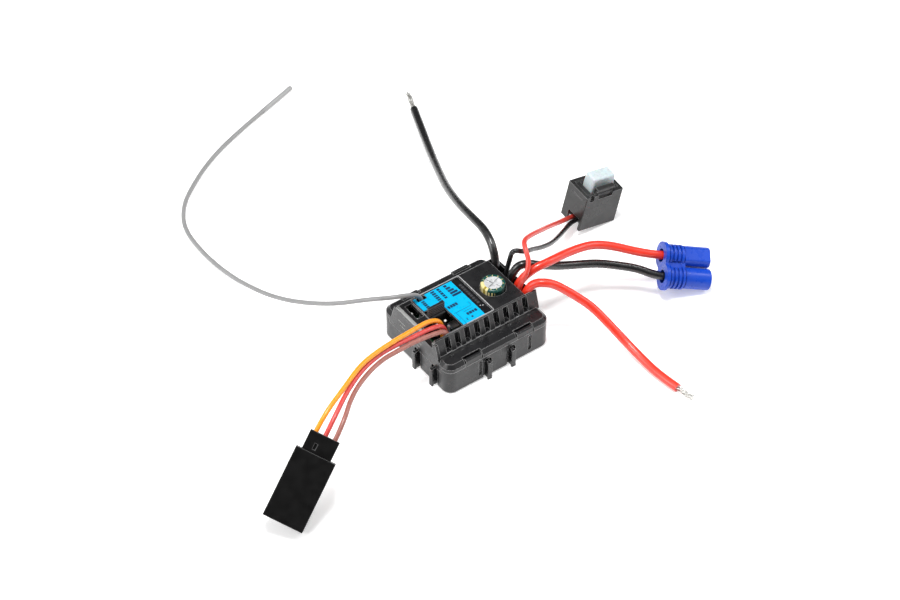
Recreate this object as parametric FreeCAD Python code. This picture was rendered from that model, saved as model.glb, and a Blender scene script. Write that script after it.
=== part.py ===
"""Small brushed speed controller with a built-in receiver, for a radio-controlled car.

Frame: millimetres, +Z up. The origin is the centre of the case's underside. +X runs along the case
towards the end where the power wires come out, and the servo lead leaves at the -X end.
"""
import FreeCAD, Part
import math
import os

V = FreeCAD.Vector
UP = V(0, 0, 1)

# ---------------------------------------------------------------- case
CASE_LENGTH = 32.7
CASE_WIDTH = 29.1
CORNER_R = 2.6
WALL = 1.4
FLOOR = 1.3
SEAM_Z = 7.4             # where the tray ends and the snap-on cover begins
LIP_Z = 9.5              # top of the flange along both long sides
TOP_Z = 14.3             # top of the raised plateau
PLATE = 1.2              # thickness of the plateau's top
FOOT_HALF = 9.7          # half width of the plateau where its sides meet the flange
CREST_HALF = 8.1         # half width of the plateau's top
CAVITY_HALF = 7.55       # half width of the hollow inside the plateau
END_X = CASE_LENGTH / 2
SIDE_Y = CASE_WIDTH / 2
SLIP = 0.05              # clearance between moulded pieces that only touch

# latches, rails and side slots
LATCH_X = (-8.1, 8.1)
LATCH_WIDTH = 5.6
LATCH_GAP = 0.3
NOTCH_DEPTH = 1.75
RAIL_PROUD = 1.3
RAIL_HEIGHT = 5.8
RAIL_HEAD_HALF = 0.65
RAIL_STEM_HALF = 0.35
LONG_SIDE_RAILS = (-3.9, 3.7)
SHORT_SIDE_RAILS = (-8.6, -1.1)
ALCOVE_HALF = 1.3        # half width of the round-topped hollow behind a rail
ALCOVE_DEPTH = 0.8
ALCOVE_TOP = 6.6
GROOVE_X = (-6.1, 9.7)   # narrow upright grooves near the latches
SLOT_COUNT = 9
SLOT_PITCH = 3.07
SLOT_FIRST_X = -12.2
SLOT_WIDTH = 1.6
SLOT_FLOOR_Y = 7.95
RIM_CHAMFER = 1.0
PANEL_GAP = 0.2          # shadow line round the cover's end panel

# openings in the plateau's top
RECESS_X = (-11.9, 2.9)
RECESS_HALF = 7.75
RECESS_DEPTH = 0.3
LABEL_T = 0.15
BIND_PORT = (-14.7, -12.6, 1.1, 6.6)
SELECTOR_PORT = (-12.1, -6.6, -2.3, 2.3)
SERVO_BAY = (-15.2, -6.5, -7.7, -2.2)
ANTENNA_HOLE = (-8.9, 6.8)
CAPACITOR_XY = (7.9, -0.9)
CAPACITOR_HOLE_R = 3.45
WIRE_BAY_X = (12.85, 15.65)
WIRE_BAY_HALF = 7.85
END_WALL_Z = 12.6

# ---------------------------------------------------------------- boards and parts on them
PITCH = 2.54
PIN = 0.64
HEADER_HEIGHT = 2.5
HEADER_NICK_R = 0.35
BOARD_Z = 3.0
BOARD_T = 1.2
BOARD_TOP = BOARD_Z + BOARD_T
RECEIVER_Z = 6.4
RECEIVER_T = 0.8
RECEIVER_TOP = RECEIVER_Z + RECEIVER_T
PIN_TOP_Z = 12.5
BIND_XY = (-13.65, 3.87)
SELECTOR_XY = (-9.33, -0.67)
STATUS_LIGHT_XY = (-8.35, -3.82)
STATUS_LIGHT_R = 0.4
JUMPER_Z = 9.9
JUMPER_SHOULDER = 13.9   # where the body narrows to its grip fin
JUMPER_TOP = 16.9
FIN_Y = (0.0, 0.78)
FIN_RIB_PITCH = 0.58
FIN_RIB_COUNT = 4
CAPACITOR_R = 3.15
CAPACITOR_TOP = 15.85
CAPACITOR_BASE = 5.6

# ---------------------------------------------------------------- leads
POWER_D = 2.3
SWITCH_D = 1.35
SERVO_D = 1.25
ANTENNA_D = 1.2
ANTENNA_TIP_D = 1.4
ANTENNA_TIP_LENGTH = 13.6
MOTOR_TIP_LENGTHS = {"black": 8.4, "red": 5.8}
STRAND_D = 1.7
SEAL_TOP = 7.2           # top of the potting round the six power-end wires
SERVO_SEAL_TOP = 7.6
MIN_BEND = 3.0           # least bend radius of these limp leads, in diameters

ROUTES = {
    "motor_wire_black": (POWER_D, [
        (13.7, 5.6, 7.2), (13.7, 5.6, 11.0), (14.4, 6.8, 15.2), (15.4, 10.0, 18.0), (16.5, 14.8, 18.6),
        (17.6, 21.3, 17.2), (19.9, 30.4, 14.2), (23.7, 40.9, 10.2), (28.8, 51.9, 6.0),
        (33.7, 62.4, 2.8), (38.4, 73.1, 1.3), (42.24, 82.67, 1.2)]),
    "motor_wire_red": (POWER_D, [
        (13.7, -6.5, 7.2), (13.7, -6.5, 11.0), (14.4, -6.5, 13.5), (16.1, -7.4, 16.2),
        (18.3, -9.5, 16.7), (20.7, -10.5, 15.4), (22.9, -12.4, 13.6), (25.2, -14.6, 11.4),
        (27.6, -17.6, 9.0), (29.2, -22.4, 6.0), (30.5, -27.6, 3.2), (31.1, -33.8, 1.5),
        (31.1, -41.1, 1.2), (32.04, -47.44, 1.2)]),
    "battery_wire_red": (POWER_D, [
        (13.7, -2.7, 7.2), (13.7, -2.7, 10.8), (15.2, -3.2, 14.8), (18.7, -4.3, 17.6),
        (23.2, -4.9, 18.0), (30.8, -3.5, 16.2), (38.1, -3.6, 14.8), (43.2, -5.7, 13.2),
        (47.6, -9.2, 11.6), (52.2, -12.2, 9.9), (56.73, -14.35, 8.51)]),
    "battery_wire_black": (POWER_D, [
        (13.7, -0.2, 7.2), (13.7, -0.2, 10.8), (14.1, -0.2, 13.9), (16.2, -0.6, 17.3),
        (18.9, -1.8, 17.2), (21.2, -2.2, 15.8), (23.6, -2.6, 14.6), (27.7, -3.3, 12.6),
        (32.9, -4.4, 11.0), (38.6, -6.3, 9.8), (43.4, -9.7, 8.8), (47.1, -12.7, 8.0),
        (50.2, -16.7, 6.7), (53.82, -18.48, 5.57)]),
    "switch_wire_red": (SWITCH_D, [
        (13.4, -4.6, 7.2), (13.4, -4.6, 11.6), (13.9, -4.9, 15.9), (16.0, -4.9, 18.6),
        (17.4, -3.5, 20.6), (17.9, -1.3, 22.4), (19.4, 1.5, 22.6), (23.4, 3.6, 20.8), (28.6, 5.7, 18.2),
        (34.8, 9.3, 13.8), (40.9, 12.8, 9.2), (45.8, 15.9, 5.4), (49.66, 17.57, 3.14)]),
    "switch_wire_black": (SWITCH_D, [
        (13.4, 1.7, 7.2), (13.4, 1.7, 11.0), (14.9, 2.2, 15.0), (15.2, 1.8, 17.5), (15.8, 1.5, 21.3),
        (18.7, -0.1, 20.2), (22.8, 1.7, 17.6), (25.9, 2.6, 15.6), (31.5, 4.8, 12.4), (37.6, 8.8, 9.0),
        (42.6, 12.3, 6.4), (46.5, 14.9, 4.4), (49.59, 16.02, 3.14)]),
    "servo_wire_orange": (SERVO_D, [
        (-10.2, -3.85, 7.6), (-10.2, -3.8, 12.0), (-11.5, -4.2, 16.2), (-14.9, -4.4, 18.2),
        (-20.8, -5.8, 19.6), (-26.9, -7.1, 20.8), (-33.0, -8.3, 21.6), (-39.7, -10.2, 22.3),
        (-47.3, -14.1, 22.0), (-55.5, -17.9, 21.3), (-59.72, -19.41, 17.83)]),
    "servo_wire_red": (SERVO_D, [
        (-10.2, -5.35, 7.6), (-10.2, -5.4, 11.8), (-11.6, -5.6, 15.6), (-15.2, -6.2, 17.4),
        (-21.6, -6.9, 18.5), (-27.1, -7.5, 19.5), (-32.6, -8.3, 20.2), (-39.0, -10.4, 20.9),
        (-46.3, -14.3, 21.0), (-54.1, -19.8, 20.5), (-58.33, -21.38, 17.02)]),
    "servo_wire_brown": (SERVO_D, [
        (-10.2, -6.8, 7.6), (-10.2, -6.8, 11.4), (-11.7, -7.0, 14.8), (-15.3, -7.6, 16.6),
        (-22.0, -7.8, 17.7), (-27.1, -8.8, 18.7), (-32.6, -9.5, 19.4), (-39.2, -11.9, 20.0),
        (-46.3, -15.9, 20.2), (-52.7, -21.8, 19.7), (-56.93, -23.34, 16.21)]),
    "antenna_cable": (ANTENNA_D, [
        (-8.9, 6.8, 8.2), (-8.9, 6.8, 12.4), (-10.2, 6.6, 15.8), (-13.4, 6.5, 17.9), (-18.0, 7.9, 18.4),
        (-22.3, 12.3, 16.8), (-27.6, 19.4, 12.6), (-31.9, 28.4, 8.4), (-35.0, 37.8, 4.8),
        (-37.3, 48.5, 2.4), (-38.5, 57.9, 1.1), (-39.0, 67.8, 0.7), (-38.1, 78.6, 0.7),
        (-33.3, 86.9, 0.7), (-26.5, 92.6, 0.7), (-18.6, 98.0, 0.7), (-7.6, 103.4, 0.7),
        (6.28, 108.15, 0.7)]),
}

# where the pieces on the leads lie: position, then heading, dip and roll in degrees
SERVO_PLUG_AT = ((-61.14, -22.4, 14.68), (200.0, 38.0, -24.0))
BATTERY_PLUG_AT = ((53.03, -15.34, 7.72), (-25.6, 15.2, 31.6))
SWITCH_AT = ((55.81, 16.09, 12.6), (-2.4, 9.3, 3.7))

# ---------------------------------------------------------------- servo connector
SERVO_SHELL = (18.2, 10.5, 5.0)
SERVO_CAVITY = (13.0, 8.3, 3.1)
SERVO_INSERT = (7.7, 2.6)
SERVO_INSERT_X = (-5.0, 4.9)
SERVO_SOCKET_R = 0.75
SERVO_SOCKET_DEPTH = 1.2
SERVO_PIN_END = 12.6
SERVO_CONTACT_Y = (-PITCH, 0, PITCH)

# ---------------------------------------------------------------- battery connector
BARREL_SPAN = 5.84
BARREL_R = 2.85
FLAT_BARREL_R = 3.0
NECK_R = 2.6
BARREL_END = 13.1
NECK_END = 6.0
FLANGE_R = 3.7
FLANGE_T = 1.0
RIB_COUNT = 4
RIB_PITCH = 1.15
RIB_T = 0.6
RIB_R = 3.15
REAR_BORE_R = 1.8
REAR_BORE_DEPTH = 3.4
FRONT_BORE_R = 2.0
CUP_X = 2.6
CUP_R = 1.7
BULLET_R = 1.0
BULLET_END = 11.4

# ---------------------------------------------------------------- power switch
SWITCH_BOX = (12.4, 8.6, 11.5)
SWITCH_WALL = 0.9
SWITCH_BODY = (10.6, 6.8, 5.0)
SWITCH_BODY_TOP = -3.0
BUTTON_BASE = (7.7, 4.3)
BUTTON_CREST = (7.2, 4.0)
BUTTON_Z = (-1.1, 3.8)
BUTTON_SHIFT = (0.7, 0.1)
BUTTON_GAP = 0.3
PLUNGER = 3.0
SWITCH_SEAL_X = -4.6


# ---------------------------------------------------------------- solid helpers
def box(x0, x1, y0, y1, z0, z1):
    return Part.makeBox(x1 - x0, y1 - y0, z1 - z0, V(x0, y0, z0))


def centred_box(size, centre, z0, z1):
    half_x = size[0] / 2
    half_y = size[1] / 2
    return box(centre[0] - half_x, centre[0] + half_x, centre[1] - half_y, centre[1] + half_y, z0, z1)


def edges_along(shape, axis):
    """Straight edges of a shape that run along one axis."""
    picked = []
    for edge in shape.Edges:
        if isinstance(edge.Curve, (Part.Line, Part.LineSegment)):
            if abs(abs(edge.tangentAt(edge.FirstParameter).dot(axis)) - 1) < 1e-6:
                picked.append(edge)
    return picked


def edges_above(shape, z):
    return [edge for edge in shape.Edges if edge.CenterOfMass.z > z]


def rounded_box(length, width, z0, z1, radius, centre=(0, 0)):
    block = centred_box((length, width), centre, z0, z1)
    return block.makeFillet(radius, edges_along(block, UP))


def cylinder(radius, start, end):
    axis = V(*end) - V(*start)
    return Part.makeCylinder(radius, axis.Length, V(*start), axis)


def prism(points, sweep):
    """Closed outline pushed along a vector."""
    corners = [V(*p) for p in points]
    return Part.Face(Part.makePolygon(corners + corners[:1])).extrude(sweep)


def fuse_all(first, *others):
    return first.multiFuse(list(others)).removeSplitter()


def cut_all(shape, cutters):
    for cutter in cutters:
        shape = shape.cut(cutter)
    return shape


def mirrored(shape, axis):
    return shape.mirror(V(0, 0, 0), axis)


def place(shape, at):
    """Move a piece made in its own frame to where it lies."""
    position, angles = at
    moved = shape.copy()
    moved.Placement = FreeCAD.Placement(V(*position), FreeCAD.Rotation(*angles))
    return moved


# ---------------------------------------------------------------- leads
def corner_arc(before, corner, after):
    """Tangent arc at a corner, as large as its two runs allow."""
    back = (before - corner)
    ahead = (after - corner)
    reach = 0.45 * min(back.Length, ahead.Length)
    back.normalize()
    ahead.normalize()
    half_turn = (math.pi - back.getAngle(ahead)) / 2
    radius = reach / math.tan(half_turn)
    inward = (back + ahead).normalize()
    centre = corner + inward * (radius / math.cos(half_turn))
    middle = centre - inward * radius
    return corner + back * reach, middle, corner + ahead * reach, radius


def lead_path(points):
    """Straight runs joined by tangent arcs, and the arcs' radii."""
    corners = [V(*p) for p in points]
    edges = []
    radii = []
    last = corners[0]
    for before, corner, after in zip(corners, corners[1:], corners[2:]):
        start, middle, end, radius = corner_arc(before, corner, after)
        edges.append(Part.LineSegment(last, start).toShape())
        edges.append(Part.Arc(start, middle, end).toShape())
        radii.append(radius)
        last = end
    edges.append(Part.LineSegment(last, corners[-1]).toShape())
    return Part.Wire(edges), radii


def lead(name, diameter, points):
    """Round lead along a route, with its length, radii and volume printed."""
    path, radii = lead_path(points)
    start = V(*points[0])
    ring = Part.Circle(start, V(*points[1]) - start, diameter / 2).toShape()
    tube = path.makePipeShell([Part.Wire([ring])], True, False)
    expected = math.pi * diameter ** 2 / 4 * path.Length
    rounded = ", ".join(f"{radius:.1f}" for radius in radii)
    print(f"{name}: length {path.Length:.1f}, volume ratio {tube.Volume / expected:.4f}, radii {rounded}")
    if min(radii) < MIN_BEND * diameter:
        print(f"{name}: least radius is {min(radii) / diameter:.2f} diameters")
    return tube


def bare_end(points, diameter, length):
    """Round end piece that carries straight on from the end of a lead."""
    end = V(*points[-1])
    ahead = (end - V(*points[-2])).normalize()
    ahead.z = 0
    stub = Part.makeCylinder(diameter / 2, length, end, ahead)
    rim = [edge for edge in stub.Edges if (edge.CenterOfMass - end).Length > length / 2 and edge.Closed]
    return stub.makeFillet(diameter * 0.2, rim[:1])


# ---------------------------------------------------------------- case tray
def rail():
    """T-rail that stands off a wall in the -Y direction, at the origin."""
    stem = box(-RAIL_STEM_HALF, RAIL_STEM_HALF, -RAIL_PROUD, ALCOVE_DEPTH + 0.1, 0, RAIL_HEIGHT)
    head = box(-RAIL_HEAD_HALF, RAIL_HEAD_HALF, -RAIL_PROUD, -RAIL_PROUD / 2, 0, RAIL_HEIGHT)
    return fuse_all(stem, head.makeFillet(0.2, edges_along(head, UP)))


def rail_alcove():
    """Round-topped hollow in the wall behind a rail."""
    spring = ALCOVE_TOP - ALCOVE_HALF
    slot = box(-ALCOVE_HALF, ALCOVE_HALF, -0.1, ALCOVE_DEPTH, -0.1, spring)
    return fuse_all(slot, cylinder(ALCOVE_HALF, (0, -0.1, spring), (0, ALCOVE_DEPTH, spring)))


def on_walls(shape):
    """Copies of a wall feature at every rail of the four walls."""
    copies = []
    for side in (0, 180):
        turn = FreeCAD.Rotation(UP, side)
        for x in LONG_SIDE_RAILS:
            copy = shape.copy()
            copy.Placement = FreeCAD.Placement(turn.multVec(V(x, -SIDE_Y, 0)), turn)
            copies.append(copy)
    for side in (-90, 90):
        turn = FreeCAD.Rotation(UP, side)
        for y in SHORT_SIDE_RAILS:
            copy = shape.copy()
            copy.Placement = FreeCAD.Placement(turn.multVec(V(-y, -END_X, 0)), turn)
            copies.append(copy)
    return copies


def latch_tongue(x):
    """Snap tongue on the tray's -Y wall, with a rounded bar along its top."""
    half = LATCH_WIDTH / 2 - LATCH_GAP
    outside = -SIDE_Y + 0.1
    blade = box(x - half, x + half, outside, -SIDE_Y + WALL / 2, SEAM_Z - 1.6, LIP_Z - 0.7)
    bar = box(x - half, x + half, outside, -SIDE_Y + 1.3, LIP_Z - 1.2, LIP_Z - 0.15)
    crest = [edge for edge in edges_along(bar, V(1, 0, 0)) if edge.CenterOfMass.z > LIP_Z - 0.5]
    return fuse_all(blade, bar.makeFillet(0.4, crest))


def end_panel(clearance):
    """Trapezoid panel of the cover that reaches down over the -X end of the tray."""
    low = 11.3 + clearance
    high = 9.0 + clearance
    low_z = 6.3 - clearance
    x0 = -END_X
    return prism([(x0, -low, low_z), (x0, low, low_z), (x0, high, TOP_Z - 0.9), (x0, -high, TOP_Z - 0.9)],
                 V(WALL - 0.5 + clearance, 0, 0))


def latch_grooves():
    """Narrow upright grooves in the long walls beside the latches."""
    grooves = []
    for x in GROOVE_X:
        groove = box(x - 0.55, x + 0.55, -SIDE_Y - 0.1, -SIDE_Y + 0.45, 1.6, SEAM_Z - 0.8)
        grooves += [groove, mirrored(groove, V(0, 1, 0))]
    return grooves


def lower_case():
    outer = rounded_box(CASE_LENGTH, CASE_WIDTH, 0, SEAM_Z, CORNER_R)
    foot = [edge for edge in outer.Edges if edge.CenterOfMass.z < 0.01]
    outer = outer.makeFillet(0.6, foot)
    inner = rounded_box(CASE_LENGTH - 2 * WALL, CASE_WIDTH - 2 * WALL, FLOOR, SEAM_Z + 1, CORNER_R - WALL)
    rebate = rounded_box(CASE_LENGTH - WALL, CASE_WIDTH - WALL, SEAM_Z - 0.6, SEAM_Z + 1, CORNER_R - WALL / 2)
    tray = outer.cut(inner).cut(rebate)
    corners = [(x, y) for x in (-12.4, 12.4) for y in (-10.6, 10.6)]
    posts = [cylinder(1.2, (*corner, FLOOR - 0.1), (*corner, BOARD_Z)) for corner in corners]
    tongues = [latch_tongue(x) for x in LATCH_X]
    tongues += [mirrored(tongue, V(0, 1, 0)) for tongue in tongues]
    tray = cut_all(fuse_all(tray, *posts, *tongues), on_walls(rail_alcove()) + latch_grooves())
    return fuse_all(tray, *on_walls(rail())).cut(end_panel(PANEL_GAP))


def case_gasket():
    outer = rounded_box(CASE_LENGTH - WALL, CASE_WIDTH - WALL, SEAM_Z - 0.6, SEAM_Z, CORNER_R - WALL / 2)
    inner = rounded_box(CASE_LENGTH - 2 * WALL, CASE_WIDTH - 2 * WALL, 0, SEAM_Z + 1, CORNER_R - WALL)
    return cut_all(outer, [inner, end_panel(PANEL_GAP)])


# ---------------------------------------------------------------- case cover
def plateau(crest_half, foot_half, top_z, bottom_z, x0, x1):
    foot = [(x0, -foot_half, bottom_z), (x0, foot_half, bottom_z)]
    crest = [(x0, crest_half, top_z), (x0, -crest_half, top_z)]
    return prism(foot + crest, V(x1 - x0, 0, 0))


def cover_shell():
    flange = rounded_box(CASE_LENGTH, CASE_WIDTH, SEAM_Z, LIP_Z, CORNER_R)
    rim = edges_above(flange, LIP_Z - 0.01)
    flange = flange.makeChamfer(RIM_CHAMFER, rim)
    crown = plateau(CREST_HALF, FOOT_HALF, TOP_Z, LIP_Z - 0.5, -END_X, END_X)
    crest = [edge for edge in edges_along(crown, V(1, 0, 0)) if edge.CenterOfMass.z > TOP_Z - 0.1]
    crown = crown.makeChamfer(0.25, crest)
    shell = fuse_all(flange, crown, end_panel(0))
    inner_length = CASE_LENGTH - 2 * WALL
    inner_width = CASE_WIDTH - 2 * WALL
    hollow = rounded_box(inner_length, inner_width, SEAM_Z - 1, LIP_Z - PLATE, CORNER_R - WALL)
    hall = box(-END_X + WALL, WIRE_BAY_X[1], -CAVITY_HALF, CAVITY_HALF, SEAM_Z - 1, TOP_Z - PLATE)
    return shell.cut(hollow).cut(hall)


def side_slots():
    """Upright slots in the sloping sides, and the latch notches in the flange."""
    cutters = []
    for i in range(SLOT_COUNT):
        x = SLOT_FIRST_X + i * SLOT_PITCH
        half = SLOT_WIDTH / 2
        slot = box(x - half, x + half, SLOT_FLOOR_Y, FOOT_HALF + 1, LIP_Z + 0.2, TOP_Z - 0.4)
        cutters += [slot, mirrored(slot, V(0, 1, 0))]
    for x in LATCH_X:
        half = LATCH_WIDTH / 2
        notch = box(x - half, x + half, -SIDE_Y - 1, -SIDE_Y + NOTCH_DEPTH, SEAM_Z - 1, LIP_Z + 1)
        cutters += [notch, mirrored(notch, V(0, 1, 0))]
    return cutters


def slot_ticks():
    """Small raised marks on the flange at the foot of each slot."""
    ticks = []
    for i in range(SLOT_COUNT):
        x = SLOT_FIRST_X + i * SLOT_PITCH
        tick = box(x - 0.5, x + 0.5, FOOT_HALF + 0.5, FOOT_HALF + 0.85, LIP_Z - 0.2, LIP_Z + 0.15)
        ticks += [tick, mirrored(tick, V(0, 1, 0))]
    return ticks


def border_bead():
    """Thin raised frame round the label recess."""
    x0, x1 = RECESS_X
    outer = rounded_box(x1 - x0 + 0.7, 2 * RECESS_HALF + 0.35, TOP_Z - 0.2, TOP_Z + 0.15, 1.0,
                        ((x0 + x1) / 2, 0))
    inner = rounded_box(x1 - x0, 2 * RECESS_HALF - 0.3, TOP_Z - 1, TOP_Z + 1, 0.8, ((x0 + x1) / 2, 0))
    return outer.cut(inner)


def top_openings():
    """Everything cut through or into the plateau's top."""
    x0, x1 = RECESS_X
    below = TOP_Z - PLATE - 1
    above = TOP_Z + 2
    recess = rounded_box(x1 - x0, 2 * RECESS_HALF - 0.3, TOP_Z - RECESS_DEPTH, above, 0.8, ((x0 + x1) / 2, 0))
    bind = box(*BIND_PORT, below, above)
    selector = box(*SELECTOR_PORT, below, above)
    servo = box(*SERVO_BAY, below, above)
    servo_way = box(-END_X - 1, SERVO_BAY[0] + 0.5, -7.6, -2.6, 11.9, above)
    hole_x, hole_y = ANTENNA_HOLE
    antenna = rounded_box(2.7, 1.5, below, above, 0.7, (hole_x - 0.5, hole_y))
    capacitor = cylinder(CAPACITOR_HOLE_R, (*CAPACITOR_XY, below), (*CAPACITOR_XY, above))
    bay = box(WIRE_BAY_X[0], WIRE_BAY_X[1], -WIRE_BAY_HALF, WIRE_BAY_HALF, SEAM_Z + 1.2, above)
    end_wall = box(WIRE_BAY_X[1] - 0.1, END_X + 1, -WIRE_BAY_HALF, WIRE_BAY_HALF, END_WALL_Z, above)
    return [recess, bind, selector, servo, servo_way, antenna, capacitor, bay, end_wall]


def end_steps():
    """Small step along the top of the -X end and a groove below it."""
    step = box(-END_X - 1, -END_X + 0.55, -12, 12, TOP_Z - 0.35, TOP_Z + 1)
    groove = box(-END_X - 1, -END_X + 0.3, -CREST_HALF - 0.3, CREST_HALF + 0.3, TOP_Z - 1.1, TOP_Z - 0.8)
    return [step, groove]


def upper_cover():
    shell = fuse_all(cover_shell(), border_bead(), *slot_ticks())
    return cut_all(shell, side_slots() + top_openings() + end_steps())


def top_label():
    """Printed label in the recess, notched round the antenna, the jumper and the servo bay."""
    z0 = TOP_Z - RECESS_DEPTH
    margin = 0.25
    sheet = box(-11.6, RECESS_X[1] - 0.2, -7.45, 7.45, z0, z0 + LABEL_T)
    servo = box(-13, SERVO_BAY[1] + margin, -9, SERVO_BAY[3] + margin, z0 - 1, z0 + 1)
    selector = box(-13, SELECTOR_PORT[1] + margin, -9, SELECTOR_PORT[3] + margin, z0 - 1, z0 + 1)
    port = box(-13, BIND_PORT[1] + margin, 0, BIND_PORT[3] + margin, z0 - 1, z0 + 1)
    hole_x, hole_y = ANTENNA_HOLE
    antenna = box(hole_x - 1.9, hole_x + 0.9, hole_y - 0.8, 9, z0 - 1, z0 + 1)
    return cut_all(sheet, [servo, selector, port, antenna])


# ---------------------------------------------------------------- electronics
def main_board():
    return rounded_box(28.4, 25.0, BOARD_Z, BOARD_TOP, 1.2)


def receiver_board():
    plate = box(-14.8, -2.2, -3.2, 11.2, RECEIVER_Z, RECEIVER_TOP)
    tab = box(-8.8, -2.2, -4.5, -3.2, RECEIVER_Z, RECEIVER_TOP)
    return fuse_all(plate, tab)


def gull_legs(x0, x1, y, outward, z0, count):
    """Row of flat legs along one side of a chip, turned down to the board."""
    legs = []
    step = (x1 - x0) / count
    for i in range(count):
        x = x0 + (i + 0.5) * step
        leg = box(x - 0.2 * step, x + 0.2 * step, min(y, y + outward), max(y, y + outward), z0, z0 + 0.25)
        legs.append(leg)
    return legs


def power_transistors():
    solids = []
    for x, y in ((1.5, 8.8), (7.5, 8.8), (-3.0, -8.8), (3.0, -8.8)):
        body = centred_box((5.0, 4.4), (x, y), BOARD_TOP, BOARD_TOP + 1.2)
        top = edges_above(body, BOARD_TOP + 1.1)
        legs = gull_legs(x - 2.3, x + 2.3, y - 2.2, -0.8, BOARD_TOP, 4)
        legs += gull_legs(x - 2.3, x + 2.3, y + 2.2, 0.8, BOARD_TOP, 4)
        solids.append(fuse_all(body.makeChamfer(0.2, top), *legs))
    return Part.makeCompound(solids)


def microcontroller():
    centre = (-0.5, 0.0)
    body = centred_box((5.6, 5.6), centre, BOARD_TOP, BOARD_TOP + 1.0)
    legs = gull_legs(centre[0] - 2.6, centre[0] + 2.6, centre[1] + 2.8, 0.7, BOARD_TOP, 8)
    legs += gull_legs(centre[0] - 2.6, centre[0] + 2.6, centre[1] - 2.8, -0.7, BOARD_TOP, 8)
    return fuse_all(body, *legs)


def voltage_regulator():
    body = centred_box((6.0, 5.4), (9.4, -8.4), BOARD_TOP, BOARD_TOP + 2.2)
    top = edges_above(body, BOARD_TOP + 2.1)
    tab = box(7.0, 11.8, -11.8, -11.1, BOARD_TOP, BOARD_TOP + 0.5)
    legs = gull_legs(6.9, 11.9, -5.7, 0.8, BOARD_TOP, 3)
    return fuse_all(body.makeChamfer(0.3, top), tab, *legs)


def radio_chip():
    body = centred_box((4.0, 4.0), (-4.6, 4.0), RECEIVER_TOP, RECEIVER_TOP + 0.85)
    return body.makeChamfer(0.1, edges_above(body, RECEIVER_TOP + 0.8))


def crystal():
    body = centred_box((3.2, 2.5), (-4.4, -0.6), RECEIVER_TOP, RECEIVER_TOP + 0.75)
    return body.makeFillet(0.4, edges_along(body, UP))


def pin_grid(centre, columns, rows, z0, z1):
    """Square pins with pointed tops on a 2.54 grid."""
    pins = []
    for i in range(columns):
        for j in range(rows):
            x = centre[0] + (i - (columns - 1) / 2) * PITCH
            y = centre[1] + (j - (rows - 1) / 2) * PITCH
            pin = centred_box((PIN, PIN), (x, y), z0, z1)
            pins.append(pin.makeChamfer(0.15, edges_above(pin, z1 - 0.01)))
    return pins


def header_base(centre, columns, rows, z0, z1, pins):
    """Black pin strip, nicked between its pins, with its holes cut to the pins."""
    length = columns * PITCH - 0.06
    width = rows * PITCH - 0.06
    spots = []
    for side in (-1, 1):
        for i in range(1, columns):
            spots.append((centre[0] + (i - columns / 2) * PITCH, centre[1] + side * width / 2))
        for j in range(1, rows):
            spots.append((centre[0] + side * length / 2, centre[1] + (j - rows / 2) * PITCH))
    nicks = [cylinder(HEADER_NICK_R, (*spot, z0), (*spot, z1)) for spot in spots]
    return cut_all(centred_box((length, width), centre, z0, z1), nicks + pins)


def board_header_pins():
    return pin_grid((-6.4, 7.0), 1, 3, BOARD_TOP, RECEIVER_Z)


def bind_pins():
    return pin_grid(BIND_XY, 1, 2, RECEIVER_TOP, PIN_TOP_Z)


def selector_pins():
    return pin_grid(SELECTOR_XY, 2, 2, RECEIVER_TOP, PIN_TOP_Z)


def status_light():
    """Round indicator with its clear light guide."""
    x, y = STATUS_LIGHT_XY
    top = PIN_TOP_Z - 0.2
    guide = cylinder(STATUS_LIGHT_R, (x, y, RECEIVER_TOP), (x, y, top))
    rim = [edge for edge in guide.Edges if edge.Closed and edge.CenterOfMass.z > top - 0.1]
    return guide.makeFillet(STATUS_LIGHT_R / 2, rim)


# ---------------------------------------------------------------- capacitor
def capacitor_can():
    x, y = CAPACITOR_XY
    can = cylinder(CAPACITOR_R, (x, y, CAPACITOR_BASE), (x, y, CAPACITOR_TOP))
    rims = [edge for edge in can.Edges if edge.Closed and edge.CenterOfMass.z > CAPACITOR_TOP - 0.1]
    can = can.makeFillet(0.4, rims)
    vents = []
    for angle in (0, 90):
        vent = centred_box((4.2, 0.25), (0, 0), CAPACITOR_TOP - 0.12, CAPACITOR_TOP + 1)
        vent.Placement = FreeCAD.Placement(V(x, y, 0), FreeCAD.Rotation(UP, 30 + angle))
        vents.append(vent)
    return cut_all(can, vents)


def capacitor_sleeve():
    x, y = CAPACITOR_XY
    outer = cylinder(CAPACITOR_R + 0.12, (x, y, CAPACITOR_BASE - 0.2), (x, y, CAPACITOR_TOP + 0.12))
    rims = [edge for edge in outer.Edges if edge.Closed and edge.CenterOfMass.z > CAPACITOR_TOP]
    outer = outer.makeFillet(0.5, rims)
    opening = cylinder(CAPACITOR_R - 0.75, (x, y, CAPACITOR_TOP - 1), (x, y, CAPACITOR_TOP + 1))
    can = cylinder(CAPACITOR_R, (x, y, CAPACITOR_BASE - 1), (x, y, CAPACITOR_TOP))
    rims = [edge for edge in can.Edges if edge.Closed and edge.CenterOfMass.z > CAPACITOR_TOP - 0.1]
    return outer.cut(can.makeFillet(0.4, rims)).cut(opening)


def capacitor_leads():
    x, y = CAPACITOR_XY
    spots = [(x, y + side * 1.25) for side in (-1, 1)]
    return Part.makeCompound([cylinder(0.3, (*spot, BOARD_TOP), (*spot, CAPACITOR_BASE)) for spot in spots])


def capacitor_bung():
    x, y = CAPACITOR_XY
    bung = cylinder(CAPACITOR_R - 0.1, (x, y, CAPACITOR_BASE - 0.7), (x, y, CAPACITOR_BASE))
    return bung.cut(capacitor_leads())


# ---------------------------------------------------------------- battery-type jumper
def jumper_centre():
    return SELECTOR_XY[0], SELECTOR_XY[1] + PITCH / 2


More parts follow.
